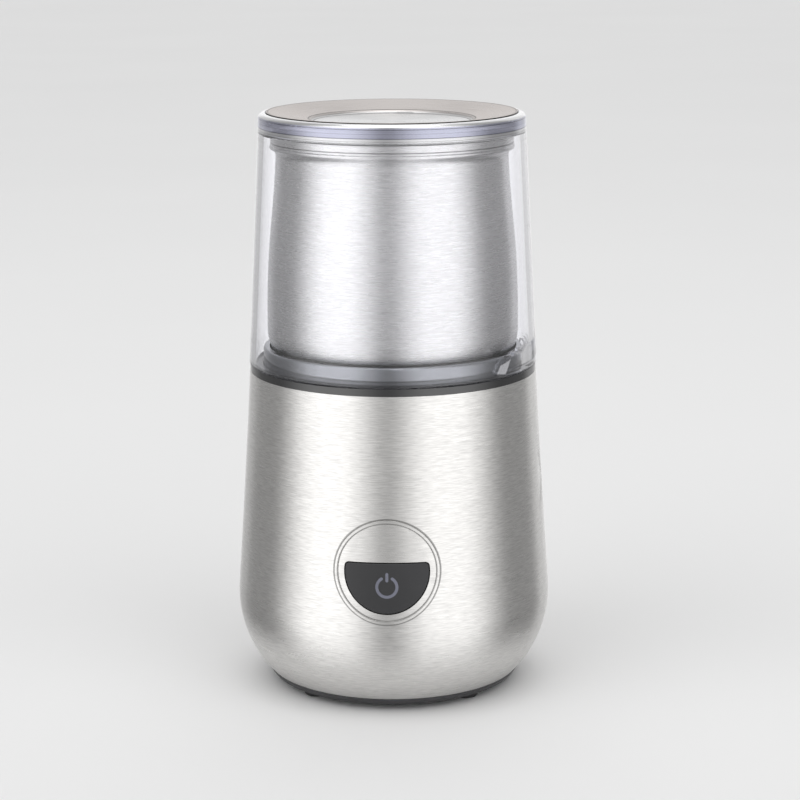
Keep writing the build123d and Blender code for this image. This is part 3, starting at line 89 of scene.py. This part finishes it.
# The white backdrop, from this many degrees off the front on either side
WHITE = 1.0
BACKDROP_FROM = 158
BACKDROP_SOFT = 10
# The ceiling, where a ray rises more steeply than this
CEILING_LEVEL = 0.8
CEILING_FROM = 0.75
# A ray that no surface has mirrored has less than this depth
MIRRORED_DEPTH = 0.5

# Most of a noise lies between these values
NOISE_LOW = 0.3
NOISE_HIGH = 0.7

# Brushed steel: marks that run round the object, in cells per metre across X and Y and along the outline,
# how far they vary the roughness, and their bump
STREAKS = (280.0, 280.0, 4300.0)
BROAD_STREAKS = (80.0, 80.0, 1500.0)
BRUSHED_UNEVEN = 0.15
BRUSHED_BUMP = 0.25
BRUSHED_ANISOTROPY = 0.8
# The share of a turn by which its anisotropy is rotated, on upright walls and on the flat disc
LEAN_WALL = 0.25
LEAN_DISC = 0.0

# Moulded parts: broad blotches as a share of the grain, how far the roughness varies, and the grain's bump
BLOTCHES = 0.02
BLOTCH_DETAIL = 3.0
MOULDED_UNEVEN = 0.1
MOULDED_BUMP = 0.3

# Stacked sheets and turns: how much their lines waver, and their bump, whose depth is a share of the pitch
STACK_DISTORTION = 0.3
STACK_WAVER = 0.1
STACK_BUMP = 0.5
STACK_DEPTH = 0.3
# A wave texture has one band in this much of its coordinate
WAVE_BAND = pi / 10

# The edge of a dark ring is soft over this share of half its width, to either side
RING_SOFT = 0.4

# Dark seams round the button's bezel, painted shade in the gaps where the parts meet, each as its radius,
# half its width and the level in it
BUTTON_HEIGHT = 53 * MM
BARREL_SEAM_SHADE = ((18.1 * MM, 0.25 * MM, 0.45),)
BEZEL_SEAM_SHADE = (
    (17.9 * MM, 0.15 * MM, 0.5),
    (16.75 * MM, 0.25 * MM, 0.55),
)

# Painted shade: dark lines at the edges of the cup's rolled rim, and a darker band at the foot of its wall
# that stands in for its reflection of the dark collar, each as its height, half its width and the level in it
CUP_SHADE_LINES = (
    (192.8 * MM, 0.2 * MM, 0.35),
    (195.4 * MM, 0.2 * MM, 0.35),
    (118.0 * MM, 5.5 * MM, 0.5),
)

# The disc's dish: the radii between which it gives way to the slope, whose darker, warmer colour is painted
# shade and a painted warm reflection; and the dark lines of its edges, which are painted shade
DISH_EDGE = (27.4 * MM, 28.6 * MM)
DISC_SHADE_RINGS = (
    (27.2 * MM, 0.25 * MM, 0.35),
    (28.9 * MM, 0.25 * MM, 0.35),
    (42.9 * MM, 0.2 * MM, 0.45),
    (43.7 * MM, 0.25 * MM, 0.04),
)

# Clear plastic, and the cells per metre and the shades of the slight unevenness of its tint
PLASTIC_IOR = 1.49
HAZE_GRAIN = 180.0
HAZE_DEEP = 0.985
HAZE_PALE = 1.01
# Light that it has turned back inside itself more often than this leaves it straight on
CAUGHT_DEPTH = 1.5
# The lid's thick rim is made part mirror, and its shades are painted reflection, standing in for the light
# that it turns back inside itself and for the highlight of its rounded edge: the radii and heights over which
# each part of it begins, their shades, and how much of a mirror they are
RIM_INSIDE = (43.2 * MM, 44.0 * MM)
RIM_BOTTOM = (195.8 * MM, 197.0 * MM)
RIM_TINTED = (197.7 * MM, 198.1 * MM)
RIM_EDGE = (201.2 * MM, 201.8 * MM)
RIM_LOW_SHADE = (0.84, 0.84, 0.86)
RIM_SHADE = (0.56, 0.57, 0.70)
EDGE_SHADE = (0.95, 0.95, 0.96)
RIM_MIRROR = 0.7
EDGE_MIRROR = 0.9
RIM_ROUGHNESS = 0.14
# Painted shade: dark lines in the rim and along the lid's foot, each as its height, half its width and the
# level in it
LID_SHADE_LINES = (
    (200.95 * MM, 0.14 * MM, 0.5),
    (199.5 * MM, 0.12 * MM, 0.8),
    (198.0 * MM, 0.14 * MM, 0.45),
    (197.0 * MM, 0.1 * MM, 0.6),
    (115.9 * MM, 0.35 * MM, 0.12),
)

# A normal this far outward is on the barrel's outside
OUTWARD = 0.7
# Points of the barrel are in one ring if their heights agree to this many digits, and a full ring has more
# points than this
HEIGHT_DIGITS = 5
RING_POINTS = 60
# Rings are taken at least this far apart, and fewer of them than this are no guide to the barrel's outline
RING_APART = 0.9 * MM
FEWEST_RINGS = 3

# Power symbol printed on the button: an open ring and a bar, in real sizes on the button's face
SYMBOL_HEIGHT = 48.1 * MM
SYMBOL_RADIUS = 3.4 * MM
SYMBOL_OPENING = radians(32)
SYMBOL_STROKE = 1.0 * MM
SYMBOL_BAR = (50.3 * MM, 52.5 * MM)
SYMBOL_PRINT = 0.05 * MM
CURVE_STEPS = 64
BAR_STEPS = 8
END_STEPS = 6
# The last row of a stroke's round end keeps this share of the half width
END_WIDTH = 0.02


def coordinate(tree, scale, place=None):
    """The place on the piece in its own metres, or the place given, times scale along each axis."""
    place = place or tree.nodes.new("ShaderNodeTexCoord").outputs["Object"]
    mapping = tree.nodes.new("ShaderNodeMapping")
    mapping.inputs["Scale"].default_value = scale
    tree.links.new(place, mapping.inputs["Vector"])
    return mapping.outputs["Vector"]


def noise(tree, scale, detail=2.0, place=None):
    """A noise from 0 to 1 with its own fineness along each axis, in cells per metre."""
    texture = tree.nodes.new("ShaderNodeTexNoise")
    texture.inputs["Scale"].default_value = 1.0
    texture.inputs["Detail"].default_value = detail
    tree.links.new(coordinate(tree, scale, place), texture.inputs["Vector"])
    return texture.outputs["Fac"]


def spread(tree, fac, low, high):
    """Turns a noise into values from low to high."""
    ranger = tree.nodes.new("ShaderNodeMapRange")
    ranger.inputs["From Min"].default_value = NOISE_LOW
    ranger.inputs["From Max"].default_value = NOISE_HIGH
    ranger.inputs["To Min"].default_value = low
    ranger.inputs["To Max"].default_value = high
    tree.links.new(fac, ranger.inputs["Value"])
    return ranger.outputs["Result"]


def varied(tree, fac, middle, share):
    """Turns a noise into values around middle, most of them within this share of it."""
    return spread(tree, fac, middle * (1 - share), middle * (1 + share))


def blend_colour(tree, fac, start, end, how="MIX"):
    """The start colour, blended at fac with the end colour; each is three numbers or a socket."""
    mix = tree.nodes.new("ShaderNodeMix")
    mix.data_type = "RGBA"
    mix.blend_type = how
    tree.links.new(fac, mix.inputs["Factor"])
    for socket, colour in ((mix.inputs["A"], start), (mix.inputs["B"], end)):
        if isinstance(colour, tuple):
            socket.default_value = (*colour, 1)
        else:
            tree.links.new(colour, socket)
    return mix.outputs["Result"]


def scaled(tree, colour, level):
    """The colour times level."""
    node = tree.nodes.new("ShaderNodeVectorMath")
    node.operation = "SCALE"
    tree.links.new(colour, node.inputs["Vector"])
    tree.links.new(level, node.inputs["Scale"])
    return node.outputs["Vector"]


def bump(tree, fac, strength, depth):
    """The normal of a surface raised by fac."""
    node = tree.nodes.new("ShaderNodeBump")
    node.inputs["Strength"].default_value = strength
    node.inputs["Distance"].default_value = depth
    tree.links.new(fac, node.inputs["Height"])
    return node.outputs["Normal"]


def calculate(tree, operation, *values):
    """A Math node of the operation; a number or a socket goes into each input."""
    node = tree.nodes.new("ShaderNodeMath")
    node.operation = operation
    for socket, value in zip(node.inputs, values):
        if isinstance(value, (int, float)):
            socket.default_value = value
        else:
            tree.links.new(value, socket)
    return node.outputs["Value"]


def eased(tree, value, start, end):
    """0 at start and 1 at end, with a soft run between them."""
    ranger = tree.nodes.new("ShaderNodeMapRange")
    ranger.interpolation_type = "SMOOTHSTEP"
    ranger.inputs["From Min"].default_value = start
    ranger.inputs["From Max"].default_value = end
    tree.links.new(value, ranger.inputs["Value"])
    return ranger.outputs["Result"]


def distance(tree, across, along):
    """How far the point (across, along) is from the origin."""
    square = calculate(tree, "MULTIPLY_ADD", across, across, calculate(tree, "MULTIPLY", along, along))
    return calculate(tree, "SQRT", square)


def turned_place(tree):
    """The place's x, y and z, its distance from the axis, and (x, y, the way along a turned outline)."""
    place = tree.nodes.new("ShaderNodeTexCoord")
    parts = tree.nodes.new("ShaderNodeSeparateXYZ")
    tree.links.new(place.outputs["Object"], parts.inputs["Vector"])
    reach = distance(tree, parts.outputs["X"], parts.outputs["Y"])
    joined = tree.nodes.new("ShaderNodeCombineXYZ")
    tree.links.new(parts.outputs["X"], joined.inputs["X"])
    tree.links.new(parts.outputs["Y"], joined.inputs["Y"])
    tree.links.new(calculate(tree, "ADD", reach, parts.outputs["Z"]), joined.inputs["Z"])
    return parts, reach, joined.outputs["Vector"]


def with_rings(tree, colour, reach, rings, share=1.0):
    """The colour, darkened by this share in thin rings of painted shade: for each its radius, half its width
    and its level.
    """
    for radius, half, level in rings:
        off = calculate(tree, "ABSOLUTE", calculate(tree, "SUBTRACT", reach, radius))
        inside = eased(tree, off, half * (1 + RING_SOFT), half * (1 - RING_SOFT))
        ring = calculate(tree, "MULTIPLY", inside, share)
        colour = blend_colour(tree, ring, colour, (level, level, level), "MULTIPLY")
    return colour


def clear_where(tree, fac, shader, tint):
    """Gives the material its shader, and clear air of the tint in its place at fac."""
    clear = tree.nodes.new("ShaderNodeBsdfTransparent")
    clear.inputs["Color"].default_value = (*tint, 1)
    mix = tree.nodes.new("ShaderNodeMixShader")
    tree.links.new(fac, mix.inputs["Fac"])
    tree.links.new(shader.outputs["BSDF"], mix.inputs[1])
    tree.links.new(clear.outputs["BSDF"], mix.inputs[2])
    tree.links.new(mix.outputs["Shader"], tree.nodes["Material Output"].inputs["Surface"])


def material(name, **constants):
    """A new material with the named constants on its Principled shader."""
    made = bpy.data.materials.new(name)
    made.use_nodes = True
    shader = made.node_tree.nodes["Principled BSDF"]
    for socket, value in constants.items():
        shader.inputs[socket.replace("_", " ")].default_value = value
    return made, made.node_tree, shader


def brushed(name, colour, roughness, lean, variation, depth=2e-5, dish=None, rings=(), shade_lines=(), seam_shades=()):
    """Steel brushed along the circumference, with marks that vary its colour and its normal.

    A dish has its own colour. Rings, lines and seams are painted shade: rings are dark circles round Z at a
    radius, lines lie round the outside at a height, and seams are circles round the button's axis, on its
    front.
    """
    made, tree, shader = material(
        name, Metallic=1.0, Anisotropic=BRUSHED_ANISOTROPY, Anisotropic_Rotation=lean
    )
    parts, reach, place = turned_place(tree)
    fine = noise(tree, STREAKS, place=place)
    broad = noise(tree, BROAD_STREAKS, place=place)
    base = blend_colour(tree, eased(tree, reach, *DISH_EDGE), dish or colour, colour)
    base = with_rings(tree, base, reach, rings)
    base = with_rings(tree, base, parts.outputs["Z"], shade_lines)
    height = calculate(tree, "SUBTRACT", parts.outputs["Z"], BUTTON_HEIGHT)
    front = calculate(tree, "LESS_THAN", parts.outputs["Y"], 0.0)
    base = with_rings(tree, base, distance(tree, parts.outputs["X"], height), seam_shades, front)
    base = scaled(tree, base, varied(tree, fine, 1.0, variation))
    tree.links.new(base, shader.inputs["Base Color"])
    tree.links.new(varied(tree, broad, roughness, BRUSHED_UNEVEN), shader.inputs["Roughness"])
    tree.links.new(bump(tree, fine, BRUSHED_BUMP, depth), shader.inputs["Normal"])
    tangent = tree.nodes.new("ShaderNodeTangent")
    tangent.direction_type = "RADIAL"
    tangent.axis = "Z"
    tree.links.new(tangent.outputs["Tangent"], shader.inputs["Tangent"])
    return made


def moulded(name, colour, roughness, grain=2500.0, depth=4e-5, variation=0.12, **constants):
    """Moulded plastic or rubber: an even colour with a fine grain."""
    made, tree, shader = material(name, **constants)
    fine = noise(tree, (grain,) * 3)
    broad = noise(tree, (grain * BLOTCHES,) * 3, BLOTCH_DETAIL)
    dark = tuple(c * (1 - variation) for c in colour)
    light = tuple(min(c * (1 + variation), 1) for c in colour)
    base = blend_colour(tree, spread(tree, broad, 0, 1), dark, light)
    tree.links.new(base, shader.inputs["Base Color"])
    tree.links.new(varied(tree, broad, roughness, MOULDED_UNEVEN), shader.inputs["Roughness"])
    tree.links.new(bump(tree, fine, MOULDED_BUMP, depth), shader.inputs["Normal"])
    return made


def metal(name, colour, roughness, grain=900.0, depth=3e-5, variation=0.08):
    """Plain metal with a fine even texture."""
    return moulded(name, colour, roughness, grain, depth, variation, Metallic=1.0)


def striped(name, dark, light, pitch, roughness, metallic):
    """Sheets or turns stacked along Z at the given pitch."""
    made, tree, shader = material(name, Metallic=metallic)
    wave = tree.nodes.new("ShaderNodeTexWave")
    wave.wave_type = "BANDS"
    wave.bands_direction = "Z"
    wave.inputs["Scale"].default_value = 1.0
    wave.inputs["Distortion"].default_value = STACK_DISTORTION
    along = WAVE_BAND / pitch
    across = along * STACK_WAVER
    tree.links.new(coordinate(tree, (across, across, along)), wave.inputs["Vector"])
    fac = wave.outputs["Fac"]
    tree.links.new(blend_colour(tree, fac, dark, light), shader.inputs["Base Color"])
    tree.links.new(varied(tree, fac, roughness, MOULDED_UNEVEN), shader.inputs["Roughness"])
    tree.links.new(bump(tree, fac, STACK_BUMP, pitch * STACK_DEPTH), shader.inputs["Normal"])
    return made


def clear_plastic(name, tint, roughness):
    """Clear plastic: the lamps shine through it, and light that is caught in it comes out again. Its rim's
    shades are painted reflection and its dark lines painted shade.
    """
    made, tree, shader = material(name, IOR=PLASTIC_IOR, Transmission_Weight=1.0)
    parts, reach, _place = turned_place(tree)
    height = parts.outputs["Z"]
    rim = eased(tree, reach, *RIM_INSIDE)
    thick = calculate(tree, "MULTIPLY", rim, eased(tree, height, *RIM_BOTTOM))
    tinted = calculate(tree, "MULTIPLY", rim, eased(tree, height, *RIM_TINTED))
    edge = calculate(tree, "MULTIPLY", rim, eased(tree, height, *RIM_EDGE))
    deep = tuple(c * HAZE_DEEP for c in tint)
    pale = tuple(min(c * HAZE_PALE, 1) for c in tint)
    base = blend_colour(tree, noise(tree, (HAZE_GRAIN,) * 3), deep, pale)
    for fac, shade in ((thick, RIM_LOW_SHADE), (tinted, RIM_SHADE), (edge, EDGE_SHADE)):
        base = blend_colour(tree, fac, base, shade)
    base = with_rings(tree, base, height, LID_SHADE_LINES)
    tree.links.new(base, shader.inputs["Base Color"])
    rim_mirror = calculate(tree, "MULTIPLY", thick, RIM_MIRROR)
    mirror = calculate(tree, "MULTIPLY_ADD", edge, EDGE_MIRROR - RIM_MIRROR, rim_mirror)
    tree.links.new(mirror, shader.inputs["Metallic"])
    rough = calculate(tree, "MULTIPLY_ADD", thick, RIM_ROUGHNESS - roughness, roughness)
    tree.links.new(rough, shader.inputs["Roughness"])
    path = tree.nodes.new("ShaderNodeLightPath")
    caught = calculate(tree, "GREATER_THAN", path.outputs["Glossy Depth"], CAUGHT_DEPTH)
    clear_where(tree, calculate(tree, "MAXIMUM", path.outputs["Is Shadow Ray"], caught), shader, tint)
    return made


# Looks by the slots of the record
steel = (0.73, 0.72, 0.705)
looks = {
    # The seams, lines and rings of the steels below are painted shade
    "barrel_steel": brushed("barrel_steel", steel, 0.31, LEAN_WALL, 0.14, seam_shades=BARREL_SEAM_SHADE),
    "bezel_steel": brushed("bezel_steel", steel, 0.29, LEAN_WALL, 0.11, seam_shades=BEZEL_SEAM_SHADE),
    "cup_steel": brushed("cup_steel", (0.76, 0.755, 0.75), 0.28, LEAN_WALL, 0.10, shade_lines=CUP_SHADE_LINES),
    # The disc's slope: its darker, warmer colour is painted shade and a painted warm reflection; its dark
    # rings are painted shade
    "disc_steel": brushed(
        "disc_steel", (0.50, 0.46, 0.44), 0.30, LEAN_DISC, 0.02, 3e-6, (0.66, 0.66, 0.665), DISC_SHADE_RINGS
    ),
    "blade_steel": metal("blade_steel", (0.72, 0.72, 0.72), 0.25),
    "shaft_steel": metal("shaft_steel", (0.60, 0.60, 0.60), 0.25),
    "spring_steel": metal("spring_steel", (0.65, 0.65, 0.66), 0.22),
    "zinc_screw": metal("zinc_screw", (0.62, 0.62, 0.60), 0.30),
    "cast_bracket": metal("cast_bracket", (0.55, 0.56, 0.57), 0.45, grain=1500.0, depth=1e-4),
    "bush_brass": metal("bush_brass", (0.72, 0.55, 0.28), 0.28),
    "copper_bars": metal("copper_bars", (0.72, 0.42, 0.25), 0.30),
    "core_iron": striped("core_iron", (0.16, 0.16, 0.17), (0.34, 0.34, 0.35), 0.5 * MM, 0.5, 0.8),
    "copper_wire": striped("copper_wire", (0.30, 0.10, 0.04), (0.62, 0.27, 0.12), 0.45 * MM, 0.35, 0.6),
    "ring_black": moulded("ring_black", (0.008, 0.008, 0.009), 0.13, depth=2e-6, IOR=1.9),
    "collar_grey": metal("collar_grey", (0.32, 0.33, 0.35), 0.07, depth=3e-6, variation=0.02),
    "housing_black": moulded("housing_black", (0.035, 0.035, 0.038), 0.42),
    "black_rubber": moulded("black_rubber", (0.022, 0.022, 0.022), 0.75, grain=1800.0, depth=8e-5),
    "button_charcoal": moulded("button_charcoal", (0.026, 0.026, 0.028), 0.45),
    "switch_black": moulded("switch_black", (0.03, 0.03, 0.03), 0.5),
    "nylon": moulded("nylon", (0.78, 0.76, 0.70), 0.45, variation=0.04),
    "fan_plastic": moulded("fan_plastic", (0.05, 0.05, 0.05), 0.55),
    "coupling_black": moulded("coupling_black", (0.03, 0.03, 0.03), 0.4),
    "carbon": moulded("carbon", (0.03, 0.03, 0.032), 0.6, grain=3500.0),
    "board_green": moulded("board_green", (0.03, 0.14, 0.06), 0.35),
    "film_yellow": moulded("film_yellow", (0.70, 0.45, 0.06), 0.3, variation=0.05),
    "block_white": moulded("block_white", (0.75, 0.75, 0.72), 0.4, variation=0.04),
    "clear_lid": clear_plastic("clear_lid", (0.955, 0.955, 0.975), 0.02),
}
pale_print = moulded("pale_print", (0.16, 0.165, 0.21), 0.5)

slot_of = {entry["node"]: entry["material_slot"] for entry in frame["record"]["subparts"]}
for name, node in nodes.items():
    node.data.materials.clear()
    node.data.materials.append(looks[slot_of[name]])


def barrel_outline(mesh):
    """The rings of points on the barrel's outside as (height, radius), from the bottom up."""
    rings = {}
    for corner in mesh.loops:
        place = mesh.vertices[corner.vertex_index].co
        out = Vector((place.x, place.y, 0)).normalized()
        if mesh.corner_normals[corner.index].vector.dot(out) > OUTWARD:
            ring = rings.setdefault(round(place.z, HEIGHT_DIGITS), {})
            ring[corner.vertex_index] = place.xy.length
    outline = []
    for z, ring in sorted(rings.items()):
        if len(ring) > RING_POINTS and (not outline or z - outline[-1][0] > RING_APART):
            outline.append((z, max(ring.values())))
    return outline


def turned_normals(mesh):
    """The mesh's normals, worked out on its outside from the outline that it is turned from."""
    normals = [corner.vector.copy() for corner in mesh.corner_normals]
    rings = barrel_outline(mesh)
    if len(rings) < FEWEST_RINGS:
        return normals
    middles = [(low[0] + high[0]) / 2 for low, high in zip(rings, rings[1:])]
    slopes = [(low[1] - high[1]) / (high[0] - low[0]) for low, high in zip(rings, rings[1:])]
    for face in mesh.polygons:
        out = Vector((face.center.x, face.center.y, 0)).normalized()
        if face.normal.dot(out) < OUTWARD or face.center.z < rings[0][0]:
            continue
        for index in face.loop_indices:
            place = mesh.vertices[mesh.loops[index].vertex_index].co
            after = min(max(bisect(middles, place.z), 1), len(middles) - 1)
            share = (place.z - middles[after - 1]) / (middles[after] - middles[after - 1])
            slope = slopes[after - 1] + (slopes[after] - slopes[after - 1]) * min(max(share, 0), 1)
            normals[index] = Vector((place.x, place.y, place.xy.length * slope)).normalized()
    return normals


def smooth_barrel():
    """The barrel itself, shaded without the streaks of the long triangles round its button hole."""
    mesh = nodes["outer_shell"].data.copy()
    mesh.normals_split_custom_set(turned_normals(mesh))
    piece = bpy.data.objects.new("barrel_shell", mesh)
    scene.collection.objects.link(piece)
    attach(piece, "housing")
    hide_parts("outer_shell")


def on_button(x, z):
    """The point on the button's front face at x and z, found by a ray from in front of the object."""
    start = Vector((x, -1, z))
    back = Vector((0, 1, 0))
    _hit, place, _normal, _face = nodes["button_cap"].ray_cast(start, back)
    return place


def rounded_stroke(shape, path, half):
    """A printed stroke of half width half along path, a list of (x, z), with round ends."""
    points = [Vector(point) for point in path]
    start = (points[0] - points[1]).normalized()
    end = (points[-1] - points[-2]).normalized()
    ends = [half * sin(pi / 2 * step / END_STEPS) for step in range(1, END_STEPS + 1)]
    before = [(points[0] + start * out, out) for out in reversed(ends)]
    after = [(points[-1] + end * out, out) for out in ends]
    line = before + [(point, 0.0) for point in points] + after
    rows = []
    for index, (point, out) in enumerate(line):
        ahead = line[min(index + 1, len(line) - 1)][0] - line[max(index - 1, 0)][0]
        width = max(sqrt(half**2 - out**2), half * END_WIDTH)
        across = Vector((-ahead.y, ahead.x)).normalized() * width
        row = []
        for edge in (point - across, point + across):
            face = on_button(edge.x, edge.y)
            row.append(shape.verts.new(face - Vector((0, SYMBOL_PRINT, 0))))
            row.append(shape.verts.new(face + Vector((0, SYMBOL_PRINT, 0))))
        rows.append(row)
    for one, two in zip(rows, rows[1:]):
        for first, second in ((0, 2), (2, 3), (3, 1), (1, 0)):
            shape.faces.new((one[first], two[first], two[second], one[second]))
    shape.faces.new((rows[0][0], rows[0][2], rows[0][3], rows[0][1]))
    shape.faces.new((rows[-1][0], rows[-1][1], rows[-1][3], rows[-1][2]))


def power_symbol():
    """The symbol printed on the button: a ring, open at the top, and the bar in its opening."""
    shape = bmesh.new()
    ring = []
    for step in range(CURVE_STEPS + 1):
        turn = pi / 2 + SYMBOL_OPENING + (2 * pi - 2 * SYMBOL_OPENING) * step / CURVE_STEPS
        ring.append((SYMBOL_RADIUS * cos(turn), SYMBOL_HEIGHT + SYMBOL_RADIUS * sin(turn)))
    rounded_stroke(shape, ring, SYMBOL_STROKE / 2)
    low, high = SYMBOL_BAR
    bar = [(0.0, low + (high - low) * step / BAR_STEPS) for step in range(BAR_STEPS + 1)]
    rounded_stroke(shape, bar, SYMBOL_STROKE / 2)
    bmesh.ops.recalc_face_normals(shape, faces=shape.faces)
    data = bpy.data.meshes.new("power_symbol")
    shape.to_mesh(data)
    shape.free()
    data.materials.append(pale_print)
    piece = bpy.data.objects.new("power_symbol", data)
    scene.collection.objects.link(piece)
    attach(piece, "button")


smooth_barrel()
power_symbol()


def top_lamp():
    """A soft square lamp overhead."""
    lamp = bpy.data.lights.new("panel_top", "AREA")
    lamp.shape = "SQUARE"
    lamp.size = LAMP_SIZE
    lamp.energy = LAMP_GLOW * LAMP_SIZE**2 * pi
    holder = bpy.data.objects.new("panel_top", lamp)
    holder.location = LAMP_PLACE
    facing = Vector(LAMP_AIM) - Vector(LAMP_PLACE)
    holder.rotation_euler = facing.to_track_quat("-Z", "Y").to_euler()
    scene.collection.objects.link(holder)


def studio_floor():
    """A pale floor that reaches past the view."""
    bpy.ops.mesh.primitive_plane_add(size=FLOOR_SIZE)
    floor = bpy.context.object
    floor.name = "floor"
    made, tree, shader = material("floor_paint", Roughness=FLOOR_ROUGHNESS)
    tone = noise(tree, (FLOOR_GRAIN,) * 3)
    tree.links.new(blend_colour(tree, tone, FLOOR_DARK, FLOOR_PALE), shader.inputs["Base Color"])
    place = tree.nodes.new("ShaderNodeTexCoord")
    reach = tree.nodes.new("ShaderNodeVectorMath")
    reach.operation = "LENGTH"
    tree.links.new(place.outputs["Object"], reach.inputs[0])
    far = eased(tree, reach.outputs["Value"], FLOOR_NEAR, FLOOR_FAR)
    path = tree.nodes.new("ShaderNodeLightPath")
    mirrored = calculate(tree, "MULTIPLY", far, path.outputs["Is Glossy Ray"])
    clear_where(tree, mirrored, shader, (1.0, 1.0, 1.0))
    floor.data.materials.append(made)


def studio_world():
    """A white background to the eye, also through clear plastic, and a room with soft lights for the rest."""
    world = bpy.data.worlds.new("studio")
    scene.world = world
    world.use_nodes = True
    tree = world.node_tree
    place = tree.nodes.new("ShaderNodeTexCoord")
    parts = tree.nodes.new("ShaderNodeSeparateXYZ")
    tree.links.new(place.outputs["Generated"], parts.inputs["Vector"])
    ahead = calculate(tree, "MULTIPLY", parts.outputs["Y"], -1.0)
    turn = calculate(tree, "ARCTAN2", parts.outputs["X"], ahead)
    soft_from = radians(BACKDROP_FROM - BACKDROP_SOFT)
    soft_to = radians(BACKDROP_FROM + BACKDROP_SOFT)
    backdrop = eased(tree, calculate(tree, "ABSOLUTE", turn), soft_from, soft_to)
    level = calculate(tree, "MULTIPLY_ADD", backdrop, WHITE - ROOM_LEVEL, ROOM_LEVEL)
    low = eased(tree, parts.outputs["Z"], 0.0, ROOM_DIM_FALL)
    level = calculate(tree, "MULTIPLY_ADD", low, -ROOM_DIM, level)
    for angle, half, soft, brightness in SOFT_LIGHTS:
        off = calculate(tree, "ABSOLUTE", calculate(tree, "SUBTRACT", turn, radians(angle)))
        light = eased(tree, off, radians(half + soft), radians(half - soft))
        level = calculate(tree, "MULTIPLY_ADD", light, brightness, level)
    room = tree.nodes.new("ShaderNodeMix")
    tree.links.new(eased(tree, parts.outputs["Z"], CEILING_FROM, 1.0), room.inputs["Factor"])
    tree.links.new(level, room.inputs["A"])
    room.inputs["B"].default_value = CEILING_LEVEL
    path = tree.nodes.new("ShaderNodeLightPath")
    unmirrored = calculate(tree, "LESS_THAN", path.outputs["Glossy Depth"], MIRRORED_DEPTH)
    through = calculate(tree, "MULTIPLY", path.outputs["Is Transmission Ray"], unmirrored)
    seen = calculate(tree, "MAXIMUM", path.outputs["Is Camera Ray"], through)
    shown = tree.nodes.new("ShaderNodeMix")
    tree.links.new(seen, shown.inputs["Factor"])
    tree.links.new(room.outputs["Result"], shown.inputs["A"])
    shown.inputs["B"].default_value = PAST_FLOOR
    tree.links.new(shown.outputs["Result"], tree.nodes["Background"].inputs["Color"])


def photograph_camera():
    """The camera of the photograph: turned, pitched down and rolled a little."""
    turned = Matrix.Rotation(CAMERA_TURN, 3, "Z")
    place = turned @ Vector((CAMERA_SIDE, -CAMERA_BACK, CAMERA_HEIGHT))
    right = turned @ Vector((1, 0, 0))
    up = turned @ Vector((0, sin(CAMERA_PITCH), cos(CAMERA_PITCH)))
    rolled_right = right * cos(CAMERA_ROLL) + up * sin(CAMERA_ROLL)
    rolled_up = up * cos(CAMERA_ROLL) - right * sin(CAMERA_ROLL)
    backward = rolled_right.cross(rolled_up)
    lens = bpy.data.cameras.new("camera")
    lens.lens = CAMERA_LENS
    lens.sensor_width = CAMERA_SENSOR
    camera = bpy.data.objects.new("camera", lens)
    axes = Matrix((rolled_right, rolled_up, backward)).transposed()
    camera.matrix_world = Matrix.Translation(place) @ axes.to_4x4()
    scene.collection.objects.link(camera)
    scene.camera = camera


top_lamp()
studio_floor()
studio_world()
photograph_camera()
scene.view_settings.view_transform = "Standard"
